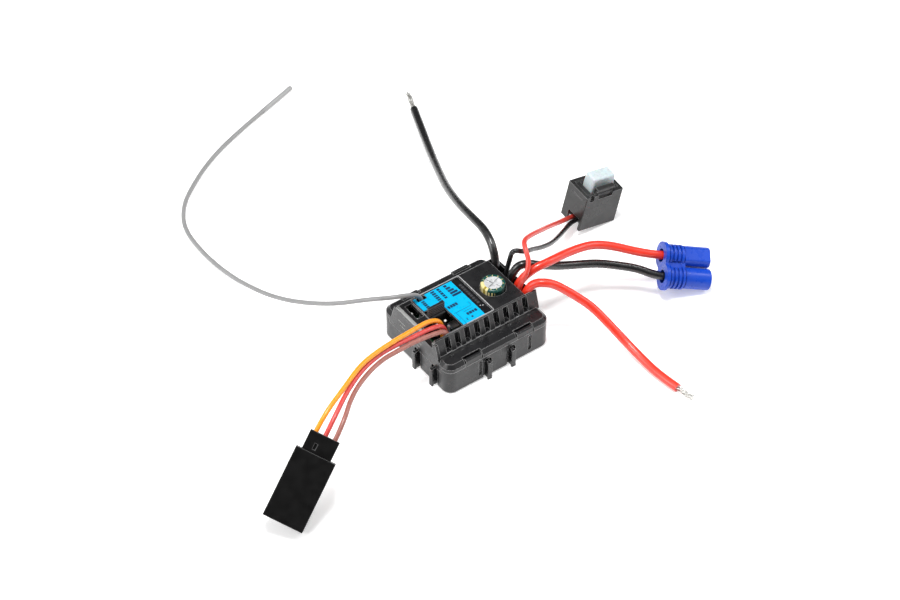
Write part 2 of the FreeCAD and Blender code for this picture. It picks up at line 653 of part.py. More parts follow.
def jumper_contact():
    """Folded contact that grips both pins of one row."""
    centre = jumper_centre()
    block = centred_box((PITCH + 1.5, 1.5), centre, JUMPER_Z + 0.3, JUMPER_Z + 3.6)
    holes = [centred_box((PIN + 0.06, PIN + 0.06), (centre[0] + side * PITCH / 2, centre[1]), JUMPER_Z - 1,
                         PIN_TOP_Z + 0.3) for side in (-1, 1)]
    return cut_all(block, holes)


def jumper_fin(centre):
    """Thin grip fin above the jumper's body, ribbed on both faces."""
    y0, y1 = FIN_Y
    half = PITCH - 0.05
    fin = box(centre[0] - half, centre[0] + half, y0, y1, JUMPER_SHOULDER - 0.1, JUMPER_TOP)
    fin = fin.makeFillet(0.2, edges_above(fin, JUMPER_TOP - 0.01))
    grooves = []
    for i in range(FIN_RIB_COUNT):
        z = JUMPER_TOP - 0.55 - i * FIN_RIB_PITCH
        for y in (y0, y1):
            grooves.append(box(centre[0] - 4, centre[0] + 4, y - 0.13, y + 0.13, z - 0.13, z + 0.13))
    return cut_all(fin, grooves)


def jumper_housing():
    """Jumper with a low body over the pins and a thin upright fin to pull it by."""
    centre = jumper_centre()
    body = centred_box((2 * PITCH - 0.1, PITCH - 0.14), centre, JUMPER_Z, JUMPER_SHOULDER)
    body = body.makeFillet(0.25, edges_above(body, JUMPER_SHOULDER - 0.01))
    pocket = centred_box((PITCH + 1.5, 1.5), centre, JUMPER_Z - 1, JUMPER_Z + 3.6)
    return fuse_all(body, jumper_fin(centre)).cut(pocket)


# ---------------------------------------------------------------- potting
def wire_seal():
    return box(12.6, END_X - WALL - SLIP, -7.8, 7.5, BOARD_TOP, SEAL_TOP)


def servo_seal():
    return box(-12.4, -9.3, -7.5, -3.25, BOARD_TOP, SERVO_SEAL_TOP)


def antenna_pad():
    """Solder joint where the antenna meets the receiver board."""
    x, y, z = ROUTES["antenna_cable"][1][0]
    return Part.makeCone(1.1, 0.6, z - RECEIVER_TOP, V(x, y, RECEIVER_TOP), UP)


# ---------------------------------------------------------------- servo connector
def servo_plug_shell():
    length, width, depth = SERVO_SHELL
    shell = box(0, length, -width / 2, width / 2, -depth / 2, depth / 2)
    shell = shell.makeFillet(0.3, edges_along(shell, V(1, 0, 0)))
    reach, wide, tall = SERVO_CAVITY
    mouth = box(length - reach, length + 1, -wide / 2, wide / 2, -tall / 2, tall / 2)
    lower = [edge for edge in edges_along(mouth, V(1, 0, 0)) if edge.CenterOfMass.z < 0]
    mouth = mouth.makeChamfer(0.5, lower)
    insert_wide, insert_tall = SERVO_INSERT
    rear = box(-1, length - reach + 1, -insert_wide / 2, insert_wide / 2, -insert_tall / 2, insert_tall / 2)
    return shell.cut(mouth).cut(rear)


def servo_pins():
    half = PIN / 2
    start = SERVO_INSERT_X[1] - 2
    return [box(start, SERVO_PIN_END, y - half, y + half, -half, half) for y in SERVO_CONTACT_Y]


def servo_plug_insert():
    """Inner housing that holds the three crimped contacts."""
    wide, tall = SERVO_INSERT
    x0, x1 = SERVO_INSERT_X
    body = box(x0, x1, -wide / 2, wide / 2, -tall / 2, tall / 2)
    bores = []
    for y in SERVO_CONTACT_Y:
        bores.append(cylinder(SERVO_SOCKET_R, (x0 - 1, y, 0), (x0 + SERVO_SOCKET_DEPTH, y, 0)))
    window = box(x0 + 2.6, x0 + 4.2, -1.5, -0.7, tall / 2 - 0.4, tall / 2 + 1)
    return cut_all(body, bores + [window] + servo_pins())


# ---------------------------------------------------------------- battery connector
def barrel_column(x0, x1, radius, y):
    return cylinder(radius, (x0, y, 0), (x1, y, 0))


def battery_plug_housing():
    half = BARREL_SPAN / 2
    pieces = [box(0, FLANGE_T, -half, half, -2.6, 2.6), box(0, NECK_END, -half, half, -1.9, 1.9)]
    for y in (-half, half):
        pieces.append(barrel_column(0, FLANGE_T, FLANGE_R, y))
        pieces.append(barrel_column(0, NECK_END, NECK_R, y))
        for i in range(RIB_COUNT):
            x = FLANGE_T + 0.45 + i * RIB_PITCH
            pieces.append(barrel_column(x, x + RIB_T, RIB_R, y))
    pieces.append(barrel_column(NECK_END - 0.1, BARREL_END, BARREL_R, -half))
    flat = barrel_column(NECK_END - 0.1, BARREL_END, FLAT_BARREL_R, half)
    pieces.append(flat.common(box(0, 20, half - 2.75, half + 4, -2.6, 2.6)))
    housing = fuse_all(*pieces)
    bores = []
    for z in (-2.2, 2.2):
        bores.append(box(FLANGE_T + 1, NECK_END - 1, -0.9, 0.9, z - 0.55, z + 0.55))
    for y in (-half, half):
        bores.append(barrel_column(-1, REAR_BORE_DEPTH, REAR_BORE_R, y))
        bores.append(barrel_column(REAR_BORE_DEPTH - 0.1, NECK_END, CUP_R, y))
        bores.append(barrel_column(NECK_END - 0.8, BARREL_END + 1, FRONT_BORE_R, y))
    return cut_all(housing, bores)


def battery_plug_contacts():
    """Gold-plated bullet with its solder cup, one in each barrel."""
    solids = []
    for y in (-BARREL_SPAN / 2, BARREL_SPAN / 2):
        cup = barrel_column(CUP_X, NECK_END - 0.8, CUP_R, y)
        pin = barrel_column(NECK_END - 0.9, BULLET_END, BULLET_R, y)
        nose = [edge for edge in pin.Edges if edge.Closed and edge.CenterOfMass.x > BULLET_END - 0.1]
        solids.append(fuse_all(cup, pin.makeFillet(0.6, nose)))
    return Part.makeCompound(solids)


# ---------------------------------------------------------------- power switch
def button_shape(grow, base_z):
    """Tapered button, its corners rounded, grown outwards by a clearance."""
    z0, z1 = BUTTON_Z
    layers = []
    for size, z in ((BUTTON_BASE, base_z), (BUTTON_BASE, 0.8), (BUTTON_CREST, z1)):
        half_x = size[0] / 2 + grow
        half_y = size[1] / 2 + grow
        x, y = BUTTON_SHIFT
        near = [V(x - half_x, y - half_y, z), V(x + half_x, y - half_y, z)]
        far = [V(x + half_x, y + half_y, z), V(x - half_x, y + half_y, z)]
        layers.append(Part.makePolygon(near + far + near[:1]))
    return Part.makeLoft(layers, True, True)


def switch_housing():
    length, width, height = SWITCH_BOX
    wall = SWITCH_WALL
    shell = centred_box((length, width), (0, 0), -height, 0)
    shell = shell.makeFillet(0.25, edges_along(shell, UP))
    inside = centred_box((length - 2 * wall, width - 2 * wall), (0, 0), -height - 1, -1.0)
    tray = centred_box((length - 2.0, width - 2.6), (0.1, 0.1), -0.35, 1)
    x, y = BUTTON_SHIFT
    hole = centred_box((BUTTON_BASE[0] + 2 * BUTTON_GAP, BUTTON_BASE[1] + 2 * BUTTON_GAP), (x, y), -2, 1)
    wire_end = -length / 2
    wire_way = box(wire_end - 1, wire_end + wall + 0.1, -width / 2 + wall, 1.6, -height - 1, -height + 3.4)
    nick = box(wire_end + 1.3, wire_end + 2.6, -width / 2 - 1, -width / 2 + 0.7, -1.6, 1)
    line = box(wire_end - 1, wire_end + 0.15, -2.4, 1.6, -1.9, -1.6)
    pocket = box(-2.2, 2.6, -width / 2 - 1, -width / 2 + 0.5, -1.3, 1)
    shell = cut_all(shell, [inside, tray, hole, wire_way, nick, line, pocket])
    post = box(-3.0, 2.9, -width / 2 + 0.7, -width / 2 + 1.55, -1.0, 2.0)
    bar = box(-3.0, 2.9, -width / 2 + 0.1, -width / 2 + 1.55, 1.2, 2.0)
    return fuse_all(shell, post, bar.makeFillet(0.2, edges_along(bar, V(1, 0, 0))))


def switch_body():
    top = SWITCH_BODY_TOP
    body = centred_box(SWITCH_BODY[:2], (0, 0), top - SWITCH_BODY[2], top)
    well = centred_box((PLUNGER + 0.2, PLUNGER + 0.2), BUTTON_SHIFT, top - 4.2, top + 1)
    return body.cut(well)


def switch_plunger():
    return centred_box((PLUNGER, PLUNGER), BUTTON_SHIFT, SWITCH_BODY_TOP - 2.2, 1.6)


def switch_button():
    """Translucent cap over the plunger."""
    outer = button_shape(0, BUTTON_Z[0])
    top = edges_above(outer, 1.0)
    outer = outer.makeFillet(0.7, top)
    socket = centred_box((PLUNGER, PLUNGER), BUTTON_SHIFT, BUTTON_Z[0] - 1, 1.6)
    return outer.cut(socket)


def switch_terminals():
    bottom = SWITCH_BODY_TOP - SWITCH_BODY[2]
    return Part.makeCompound([centred_box((0.5, 1.6), (x, 0.6), bottom - 1.8, bottom) for x in (-2.5, 2.5)])


def switch_seal():
    """Clear glue over the terminals, where the two wires end."""
    bottom = SWITCH_BODY_TOP - SWITCH_BODY[2]
    block = box(SWITCH_SEAL_X, 4.4, -2.9, 2.9, bottom - 3.0, bottom)
    return block.cut(switch_terminals())


# ---------------------------------------------------------------- export
def leads():
    made = {name: lead(name, diameter, points) for name, (diameter, points) in ROUTES.items()}
    made["antenna_tip"] = bare_end(ROUTES["antenna_cable"][1], ANTENNA_TIP_D, ANTENNA_TIP_LENGTH)
    for colour, length in MOTOR_TIP_LENGTHS.items():
        made[f"motor_tip_{colour}"] = bare_end(ROUTES[f"motor_wire_{colour}"][1], STRAND_D, length)
    return made


def case_and_boards():
    header_pins = board_header_pins()
    bind = bind_pins()
    selector = selector_pins()
    header_top = RECEIVER_TOP + HEADER_HEIGHT
    return {
        "lower_case": lower_case(),
        "case_gasket": case_gasket(),
        "upper_cover": upper_cover(),
        "top_label": top_label(),
        "main_board": main_board(),
        "receiver_board": receiver_board(),
        "power_transistors": power_transistors(),
        "microcontroller": microcontroller(),
        "voltage_regulator": voltage_regulator(),
        "radio_chip": radio_chip(),
        "crystal": crystal(),
        "board_header": header_base((-6.4, 7.0), 1, 3, BOARD_TOP, RECEIVER_Z, header_pins),
        "board_header_pins": Part.makeCompound(header_pins),
        "bind_header": header_base(BIND_XY, 1, 2, RECEIVER_TOP, header_top, bind),
        "bind_pins": Part.makeCompound(bind),
        "selector_header": header_base(SELECTOR_XY, 2, 2, RECEIVER_TOP, header_top, selector),
        "selector_pins": Part.makeCompound(selector),
        "status_light": status_light(),
        "capacitor_can": capacitor_can(),
        "capacitor_sleeve": capacitor_sleeve(),
        "capacitor_bung": capacitor_bung(),
        "capacitor_leads": capacitor_leads(),
        "jumper_housing": jumper_housing(),
        "jumper_contact": jumper_contact(),
        "wire_seal": wire_seal(),
        "servo_seal": servo_seal(),
        "antenna_pad": antenna_pad(),
    }


def pieces_on_leads():
    placed = {}
    servo = {"servo_plug_shell": servo_plug_shell(), "servo_plug_insert": servo_plug_insert(),
             "servo_plug_pins": Part.makeCompound(servo_pins())}
    battery = {"battery_plug_housing": battery_plug_housing(),
               "battery_plug_contacts": battery_plug_contacts()}
    switch = {"switch_housing": switch_housing(), "switch_body": switch_body(),
              "switch_plunger": switch_plunger(), "switch_button": switch_button(),
              "switch_terminals": switch_terminals(), "switch_seal": switch_seal()}
    for group, at in ((servo, SERVO_PLUG_AT), (battery, BATTERY_PLUG_AT), (switch, SWITCH_AT)):
        for name, shape in group.items():
            placed[name] = place(shape, at)
    return placed


def main():
    os.makedirs("parts", exist_ok=True)
    nodes = {**case_and_boards(), **pieces_on_leads(), **leads()}
    for name, shape in nodes.items():
        shape.exportStep(f"parts/{name}.step")
        lowest = shape.BoundBox.ZMin
        note = "" if shape.isValid() else "  NOT VALID"
        print(f"{name}: {len(shape.Solids)} solids, volume {shape.Volume:.2f}, lowest {lowest:.2f}{note}")


main()
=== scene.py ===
"""Visual model of a small brushed speed controller with a built-in receiver, on its CAD frame.

Metres, in the CAD's frame: +X towards the power wires, +Z up, origin under the middle of the case.
"""
import math
import random

import bmesh
import bpy
from mathutils import Euler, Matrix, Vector


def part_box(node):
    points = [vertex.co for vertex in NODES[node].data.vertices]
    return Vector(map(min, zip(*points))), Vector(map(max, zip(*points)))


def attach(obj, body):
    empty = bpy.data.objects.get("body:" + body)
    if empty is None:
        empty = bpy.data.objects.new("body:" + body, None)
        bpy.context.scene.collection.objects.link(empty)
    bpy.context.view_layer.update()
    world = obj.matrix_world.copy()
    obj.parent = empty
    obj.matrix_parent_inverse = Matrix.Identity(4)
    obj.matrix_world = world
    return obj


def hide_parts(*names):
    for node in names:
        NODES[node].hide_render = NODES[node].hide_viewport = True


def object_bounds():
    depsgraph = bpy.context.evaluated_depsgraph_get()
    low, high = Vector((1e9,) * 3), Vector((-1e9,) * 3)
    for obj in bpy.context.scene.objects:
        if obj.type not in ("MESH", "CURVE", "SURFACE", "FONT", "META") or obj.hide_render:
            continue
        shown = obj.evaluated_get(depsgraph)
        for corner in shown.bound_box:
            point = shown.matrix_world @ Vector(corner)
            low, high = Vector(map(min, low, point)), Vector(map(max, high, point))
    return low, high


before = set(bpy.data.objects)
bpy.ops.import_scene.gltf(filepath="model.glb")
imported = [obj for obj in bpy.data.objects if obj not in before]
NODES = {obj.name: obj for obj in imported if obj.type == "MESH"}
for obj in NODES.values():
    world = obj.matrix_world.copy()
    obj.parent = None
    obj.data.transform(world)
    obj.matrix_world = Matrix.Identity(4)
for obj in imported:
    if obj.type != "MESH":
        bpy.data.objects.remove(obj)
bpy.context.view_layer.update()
MM = 0.001
SEED = 7

# ---------------------------------------------------------------- camera
CAMERA_AT = (-0.24685, -0.33125, 0.41817)
CAMERA_AZIMUTH = -36.115
CAMERA_ELEVATION = 44.41
CAMERA_LENS = 90.0
CAMERA_SENSOR = 36.0
CAMERA_NEAR = 0.01

# ---------------------------------------------------------------- leads
POWER_D = 0.0023
SWITCH_D = 0.00135
SERVO_D = 0.00125
ANTENNA_D = 0.0012
# each lead's control points, from its root in the case to its far end, as part.py has them
ROUTES = {
    "motor_wire_black": [
        (0.0137, 0.0056, 0.0072), (0.0137, 0.0056, 0.0110), (0.0144, 0.0068, 0.0152),
        (0.0154, 0.0100, 0.0180), (0.0165, 0.0148, 0.0186), (0.0176, 0.0213, 0.0172),
        (0.0199, 0.0304, 0.0142), (0.0237, 0.0409, 0.0102), (0.0288, 0.0519, 0.0060),
        (0.0337, 0.0624, 0.0028), (0.0384, 0.0731, 0.0013), (0.04224, 0.08267, 0.0012)],
    "motor_wire_red": [
        (0.0137, -0.0065, 0.0072), (0.0137, -0.0065, 0.0110), (0.0144, -0.0065, 0.0135),
        (0.0161, -0.0074, 0.0162), (0.0183, -0.0095, 0.0167), (0.0207, -0.0105, 0.0154),
        (0.0229, -0.0124, 0.0136), (0.0252, -0.0146, 0.0114), (0.0276, -0.0176, 0.0090),
        (0.0292, -0.0224, 0.0060), (0.0305, -0.0276, 0.0032), (0.0311, -0.0338, 0.0015),
        (0.0311, -0.0411, 0.0012), (0.03204, -0.04744, 0.0012)],
    "battery_wire_red": [
        (0.0137, -0.0027, 0.0072), (0.0137, -0.0027, 0.0108), (0.0152, -0.0032, 0.0148),
        (0.0187, -0.0043, 0.0176), (0.0232, -0.0049, 0.0180), (0.0308, -0.0035, 0.0162),
        (0.0381, -0.0036, 0.0148), (0.0432, -0.0057, 0.0132), (0.0476, -0.0092, 0.0116),
        (0.0522, -0.0122, 0.0099), (0.05673, -0.01435, 0.00851)],
    "battery_wire_black": [
        (0.0137, -0.0002, 0.0072), (0.0137, -0.0002, 0.0108), (0.0141, -0.0002, 0.0139),
        (0.0162, -0.0006, 0.0173), (0.0189, -0.0018, 0.0172), (0.0212, -0.0022, 0.0158),
        (0.0236, -0.0026, 0.0146), (0.0277, -0.0033, 0.0126), (0.0329, -0.0044, 0.0110),
        (0.0386, -0.0063, 0.0098), (0.0434, -0.0097, 0.0088), (0.0471, -0.0127, 0.0080),
        (0.0502, -0.0167, 0.0067), (0.05382, -0.01848, 0.00557)],
    "switch_wire_red": [
        (0.0134, -0.0046, 0.0072), (0.0134, -0.0046, 0.0116), (0.0139, -0.0049, 0.0159),
        (0.0160, -0.0049, 0.0186), (0.0174, -0.0035, 0.0206), (0.0179, -0.0013, 0.0224),
        (0.0194, 0.0015, 0.0226), (0.0234, 0.0036, 0.0208), (0.0286, 0.0057, 0.0182),
        (0.0348, 0.0093, 0.0138), (0.0409, 0.0128, 0.0092), (0.0458, 0.0159, 0.0054),
        (0.04966, 0.01757, 0.00314)],
    "switch_wire_black": [
        (0.0134, 0.0017, 0.0072), (0.0134, 0.0017, 0.0110), (0.0149, 0.0022, 0.0150),
        (0.0152, 0.0018, 0.0175), (0.0158, 0.0015, 0.0213), (0.0187, -0.0001, 0.0202),
        (0.0228, 0.0017, 0.0176), (0.0259, 0.0026, 0.0156), (0.0315, 0.0048, 0.0124),
        (0.0376, 0.0088, 0.0090), (0.0426, 0.0123, 0.0064), (0.0465, 0.0149, 0.0044),
        (0.04959, 0.01602, 0.00314)],
    "servo_wire_orange": [
        (-0.0102, -0.00385, 0.0076), (-0.0102, -0.0038, 0.0120), (-0.0115, -0.0042, 0.0162),
        (-0.0149, -0.0044, 0.0182), (-0.0208, -0.0058, 0.0196), (-0.0269, -0.0071, 0.0208),
        (-0.0330, -0.0083, 0.0216), (-0.0397, -0.0102, 0.0223), (-0.0473, -0.0141, 0.0220),
        (-0.0555, -0.0179, 0.0213), (-0.05972, -0.01941, 0.01783)],
    "servo_wire_red": [
        (-0.0102, -0.00535, 0.0076), (-0.0102, -0.0054, 0.0118), (-0.0116, -0.0056, 0.0156),
        (-0.0152, -0.0062, 0.0174), (-0.0216, -0.0069, 0.0185), (-0.0271, -0.0075, 0.0195),
        (-0.0326, -0.0083, 0.0202), (-0.0390, -0.0104, 0.0209), (-0.0463, -0.0143, 0.0210),
        (-0.0541, -0.0198, 0.0205), (-0.05833, -0.02138, 0.01702)],
    "servo_wire_brown": [
        (-0.0102, -0.0068, 0.0076), (-0.0102, -0.0068, 0.0114), (-0.0117, -0.0070, 0.0148),
        (-0.0153, -0.0076, 0.0166), (-0.0220, -0.0078, 0.0177), (-0.0271, -0.0088, 0.0187),
        (-0.0326, -0.0095, 0.0194), (-0.0392, -0.0119, 0.0200), (-0.0463, -0.0159, 0.0202),
        (-0.0527, -0.0218, 0.0197), (-0.05693, -0.02334, 0.01621)],
    "antenna_cable": [
        (-0.0089, 0.0068, 0.0082), (-0.0089, 0.0068, 0.0124), (-0.0102, 0.0066, 0.0158),
        (-0.0134, 0.0065, 0.0179), (-0.0180, 0.0079, 0.0184), (-0.0223, 0.0123, 0.0168),
        (-0.0276, 0.0194, 0.0126), (-0.0319, 0.0284, 0.0084), (-0.0350, 0.0378, 0.0048),
        (-0.0373, 0.0485, 0.0024), (-0.0385, 0.0579, 0.0011), (-0.0390, 0.0678, 0.0007),
        (-0.0381, 0.0786, 0.0007), (-0.0333, 0.0869, 0.0007), (-0.0265, 0.0926, 0.0007),
        (-0.0186, 0.0980, 0.0007), (-0.0076, 0.1034, 0.0007), (0.00628, 0.10815, 0.0007)],
}

BATTERY_PLUG = ["battery_plug_housing", "battery_plug_contacts"]
SERVO_PLUG = ["servo_plug_insert", "servo_plug_shell", "servo_plug_pins"]
SWITCH = ["switch_housing", "switch_body", "switch_terminals", "switch_seal", "switch_plunger",
          "switch_button"]
# each lead's diameter, real length, far end and the pieces on it
LEADS = {
    "motor_wire_black": (POWER_D, 0.0923, "bare", ["motor_strands_black"]),
    "motor_wire_red": (POWER_D, 0.0589, "bare", ["motor_strands_red"]),
    "battery_wire_red": (POWER_D, 0.0543, "connector", BATTERY_PLUG),
    "battery_wire_black": (POWER_D, 0.0549, "connector", BATTERY_PLUG),
    "switch_wire_red": (SWITCH_D, 0.0599, "fitting", SWITCH),
    "switch_wire_black": (SWITCH_D, 0.0558, "fitting", SWITCH),
    "servo_wire_orange": (SERVO_D, 0.0610, "connector", SERVO_PLUG),
    "servo_wire_red": (SERVO_D, 0.0594, "connector", SERVO_PLUG),
    "servo_wire_brown": (SERVO_D, 0.0581, "connector", SERVO_PLUG),
    "antenna_cable": (ANTENNA_D, 0.1490, "bare", ["antenna_tip"]),
}
BODY = "controller"      # the root body, on which every new piece rides
TIP_LENGTH = {"black": 0.0084, "red": 0.0058}
STRAND_RINGS = ((2, 0.00016), (5, 0.00055))   # how many strands, and how far from the lead's line
STRAND_R = 0.00016
STRAND_STEPS = 8
STRAND_TWIST = 3.4       # turn from root to tip, in radians
STRAND_PHASE = 0.7       # how unevenly the strands stand round the line, in radians
STRAND_REACH = (0.78, 1.0)
STRAND_SPLAY = (0.5, 1.7)
SPLAY_FROM = 0.4         # share of its length at which a strand starts to spread

# ---------------------------------------------------------------- printed marks, in millimetres
MARK_CORNER = 0.12       # corner radius of a mark
MARK_ROUNDING = 0.49     # and the largest share of its width that a corner takes
CORNER_STEPS = 5
DASH_SHARE = (0.66, 0.9)       # how much of its pitch a dash fills
END_DASH_SHARE = (0.25, 0.6)
# rows of dashes: middle of the row, its length, the dashes' height, how many, and whether along x
LABEL_ROWS = [
    ((-4.05, 5.05), 4.4, 0.8, 5, False),
    ((-5.85, 4.85), 4.8, 1.15, 6, False),
    ((-9.85, 4.3), 2.8, 1.0, 4, False),
    ((-4.45, -0.15), 3.1, 1.0, 4, True),
    ((-1.75, -4.75), 3.3, 0.9, 4, True),
]
STRIP_ROWS = [((1.6, 0.9), 8.6, 0.75, 9, False)]
# a rising scale in five steps, near the label's far corner
SCALE_FOOT_X = -2.35
SCALE_FIRST_Y = 6.75
SCALE_STEPS = (0.9, 1.35, 1.8, 2.25, 2.7)
SCALE_PITCH = 1.0
SCALE_BAR = 0.74
# single marks and ruled lines: middle x, middle y, length in x, length in y
LABEL_MARKS = [
    (-2.6, -6.2, 0.55, 0.55),
    (-4.25, -6.3, 0.3, 0.7),
    (-3.2, -2.75, 5.4, 0.1),
    (-5.3, -5.0, 0.1, 4.2),
    (-0.35, -2.0, 0.1, 1.3),
    (-2.0, -3.6, 2.8, 0.1),
]
STRIP_MARKS = [
    (1.35, -4.2, 0.3, 0.3),
    (1.95, -4.5, 0.4, 0.22),
]
# rows of small marks on the end panel, measured along the panel and up from the floor
END_ROWS = [
    ((-5.6, 10.2), 3.2, 0.3, 9, True),
    ((-5.3, 8.9), 2.4, 0.3, 7, True),
    ((1.0, 9.2), 4.0, 0.3, 10, True),
    ((0.8, 7.9), 3.2, 0.3, 8, True),
]

# ---------------------------------------------------------------- small details, in metres
PRINT_T = 0.00003        # how far the ink stands proud
LABEL_SPLIT_X = 0.0005   # where the label's blue field meets its glossy black strip
LIP_DEPTH = 0.00057      # the painted highlight on the cover's end lip: how far in and how far down it reaches
LIP_DROP = 0.00075
TICK_Y = (0.01012, 0.01064)   # where the ticks stand on both ledges
TICK_Z = (0.0094, 0.0098)
# the pale line round the label's recess
BORDER_R = 0.00009
BORDER_SINK = 0.6        # how deep its middle lies in the cover, as a share of its radius
BORDER_SIDE_GAP = 0.0003
BORDER_END_GAP = 0.0004
BORDER_CORNER = 0.0009
BORDER_START = 0.0006    # how far from the label's open end it starts
BORDER_SIDE_X = (-0.006, 0.0)
BORDER_LAST_X = -0.0055
# the jumper's ribbed fin, with painted shade in its grooves and painted highlight on its ribs, and the pins'
# bright tips above painted shade
FIN_RIB_PITCH = 0.00058
FIN_FIRST_GROOVE = 0.00055
FIN_HEIGHT = 0.003
PIN_TIP = 0.0003
# the capacitor's end: a scored cross, painted darker as shade, over fine turning rings
VENT_ANGLES = (20.0, 110.0)   # in degrees from +X
VENT_HALF = 0.00009
CAN_RINGS = 42000.0      # the rings' phase, in radians for each metre from the axis
CAN_DENTS = 6.0          # the dents' height for a ring height of one
# the capacitor's sleeve; its bands are a middle and a half width, in degrees from -X
SLEEVE_RIM = 0.0007      # how far its turned-in rim reaches down; the wall below it is painted darker as shade
SLEEVE_RIM_R = 0.43      # radius inside which the rim has ticks, as a share of the sleeve's diameter
SLEEVE_STRIPE = (-8.0, 34.0)
SLEEVE_STRIPE_CORE = (8.0, 6.0)
SLEEVE_STROKES = (45.0, 17.0)
STROKE_COUNT = 24.0      # strokes in a whole turn, and the sine above which each shows
STROKE_CUT = 0.1
RIM_TICK_COUNT = 11.0
RIM_TICK_CUT = 0.92
# the brick pattern that stands for the board's copper tracks
TRACK_SCALE = 420.0
TRACK_GAP = 0.03

# ---------------------------------------------------------------- colours, linear
BLACK = (0.008, 0.008, 0.009)
DEEP_BLACK = (0.006, 0.006, 0.007)
SERVO_BLACK = (0.0026, 0.0025, 0.0025)
WIRE_BLACK = (0.006, 0.006, 0.0065)
SWITCH_BLACK = (0.018, 0.018, 0.018)
LABEL_BLUE = (0.0, 0.39, 0.69)
INK_BLUE = (0.002, 0.026, 0.075)
STRIP_INK = (0.045, 0.045, 0.05)
STRIP_WHITE = (0.55, 0.55, 0.56)
END_INK = (0.44, 0.44, 0.42)
TICK_BLACK = (0.016, 0.016, 0.016)
RED = (0.74, 0.030, 0.011)
SWITCH_RED = (0.66, 0.050, 0.034)
SERVO_RED = (0.60, 0.062, 0.055)
ORANGE = (0.88, 0.31, 0.012)
BROWN = (0.33, 0.125, 0.100)
COAX_GREY = (0.25, 0.25, 0.25)
CORE_GREY = (0.30, 0.30, 0.30)
PLUG_BLUE = (0.006, 0.055, 0.46)
SLEEVE_GREEN = (0.003, 0.060, 0.048)
STRIPE_CREAM = (0.70, 0.60, 0.27)
STRIPE_OLIVE = (0.30, 0.22, 0.02)
TIN = (0.74, 0.73, 0.70)
GOLD = (0.83, 0.60, 0.24)
BOARD_GREEN = (0.006, 0.075, 0.028)
GLUE = (0.03, 0.028, 0.026)
BRIGHT_TIN = (0.95, 0.95, 0.93)
CHIP_BLACK = (0.014, 0.014, 0.015)
LIGHT_GUIDE = (0.9, 0.93, 0.95)
BUTTON_MILK = (0.54, 0.62, 0.64)
BORDER_GREY = (0.50, 0.50, 0.51)
CAN_GREY = (0.86, 0.87, 0.88)
CAN_BRIGHT = (0.88, 0.89, 0.90)
CAN_DULL = (0.52, 0.54, 0.56)
# painted shade in the scored cross
CAN_SCORE_SHADE = (0.22, 0.23, 0.24)
FLOOR_GREY = (0.9, 0.9, 0.9)
FLOOR_TONES = ((0.89, 0.89, 0.89), (0.92, 0.92, 0.92))
# pale colour painted on edges as a highlight
EDGE_HIGHLIGHT_GREY = (0.40, 0.40, 0.40)
# paler grey painted on the end lip as a highlight
LIP_HIGHLIGHT_GREY = (0.30, 0.305, 0.30)
# painted shade on the pins inside their header
PIN_PAINTED_SHADE = (0.05, 0.05, 0.05)
# painted highlight on the fin's ribs, and painted shade in its grooves
FIN_CREST_HIGHLIGHT = (0.13, 0.12, 0.125)
FIN_GROOVE_SHADE = (0.004, 0.004, 0.004)

# ---------------------------------------------------------------- surfaces
GRAIN = 0.00016          # size of the moulded surfaces' grain
EDGE_HIGHLIGHT_R = 0.00026    # how far the painted edge highlight reaches in from an edge
HIGHLIGHT_START = 0.985       # cosine between rounded and flat normal where the painted edge highlight starts, and where it is full
HIGHLIGHT_FULL = 0.90
SKIN_COAT = {"Coat Weight": 0.4, "Coat Roughness": 0.12}   # the wires' shiny skin
CLOUDY = {"Subsurface Weight": 0.35, "Subsurface Scale": 0.0012, "IOR": 1.49}

# ---------------------------------------------------------------- light and floor
DARK_HEADING = (0.59, 0.81, 0.0)   # the studio is dark towards this heading and away from it
WORLD_BRIGHT = 0.80
WORLD_DARK = 0.14
WORLD_FADE = (0.3, 0.68)      # cosines to that heading between which the brightness falls
FLOOR_HALF = 3.0
FLOOR_GAP = 0.00005      # how far the floor lies under the lowest piece
FLOOR_GLOW = 0.35        # light that the floor gives off itself
# where each soft box hangs, how wide it is and its power
SOFT_BOXES = {
    "overhead": ((-0.06, -0.02, 0.75), 0.20, 4.0),
    "left": ((-0.55, 0.12, 0.40), 0.40, 2.2),
    "right": ((0.50, -0.16, 0.42), 0.24, 0.8),
    "edge_near": ((0.32, -0.01, 0.68), 0.07, 0.35),
}


# ---------------------------------------------------------------- material helpers
MIX_COLOURS = (6, 7)     # places of the mix node's two colour inputs and of its colour output
MIX_RESULT = 2
BEVEL_SAMPLES = 6


def new_material(name, colour, roughness, **inputs):
    """Principled material with its constant values set on its own sockets."""
    material = bpy.data.materials.new(name)
    material.use_nodes = True
    shader = material.node_tree.nodes["Principled BSDF"]
    shader.inputs["Base Color"].default_value = (*colour, 1)
    shader.inputs["Roughness"].default_value = roughness
    for key, value in inputs.items():
        shader.inputs[key].default_value = value
    return material


def specular(level):
    """The shader's input for how strongly a surface mirrors at its face; 0.5 is usual."""
    return {"Specular IOR Level": level}


def add(material, kind, **values):
    """New node; its values set properties or, where the name is a socket's, input defaults."""
    node = material.node_tree.nodes.new(kind)
    for key, value in values.items():
        if hasattr(node, key):
            setattr(node, key, value)
        else:
            node.inputs[key.replace("_", " ")].default_value = value
    return node


def link(material, source, target):
    material.node_tree.links.new(source, target)


def shader_input(material, name):
    return material.node_tree.nodes["Principled BSDF"].inputs[name]


def object_point(material):
    return add(material, "ShaderNodeTexCoord").outputs["Object"]


def object_axes(material):
    """Sockets for the point's x, y and z in the object's own space."""
    split = add(material, "ShaderNodeSeparateXYZ")
    link(material, object_point(material), split.inputs["Vector"])
    return split.outputs["X"], split.outputs["Y"], split.outputs["Z"]


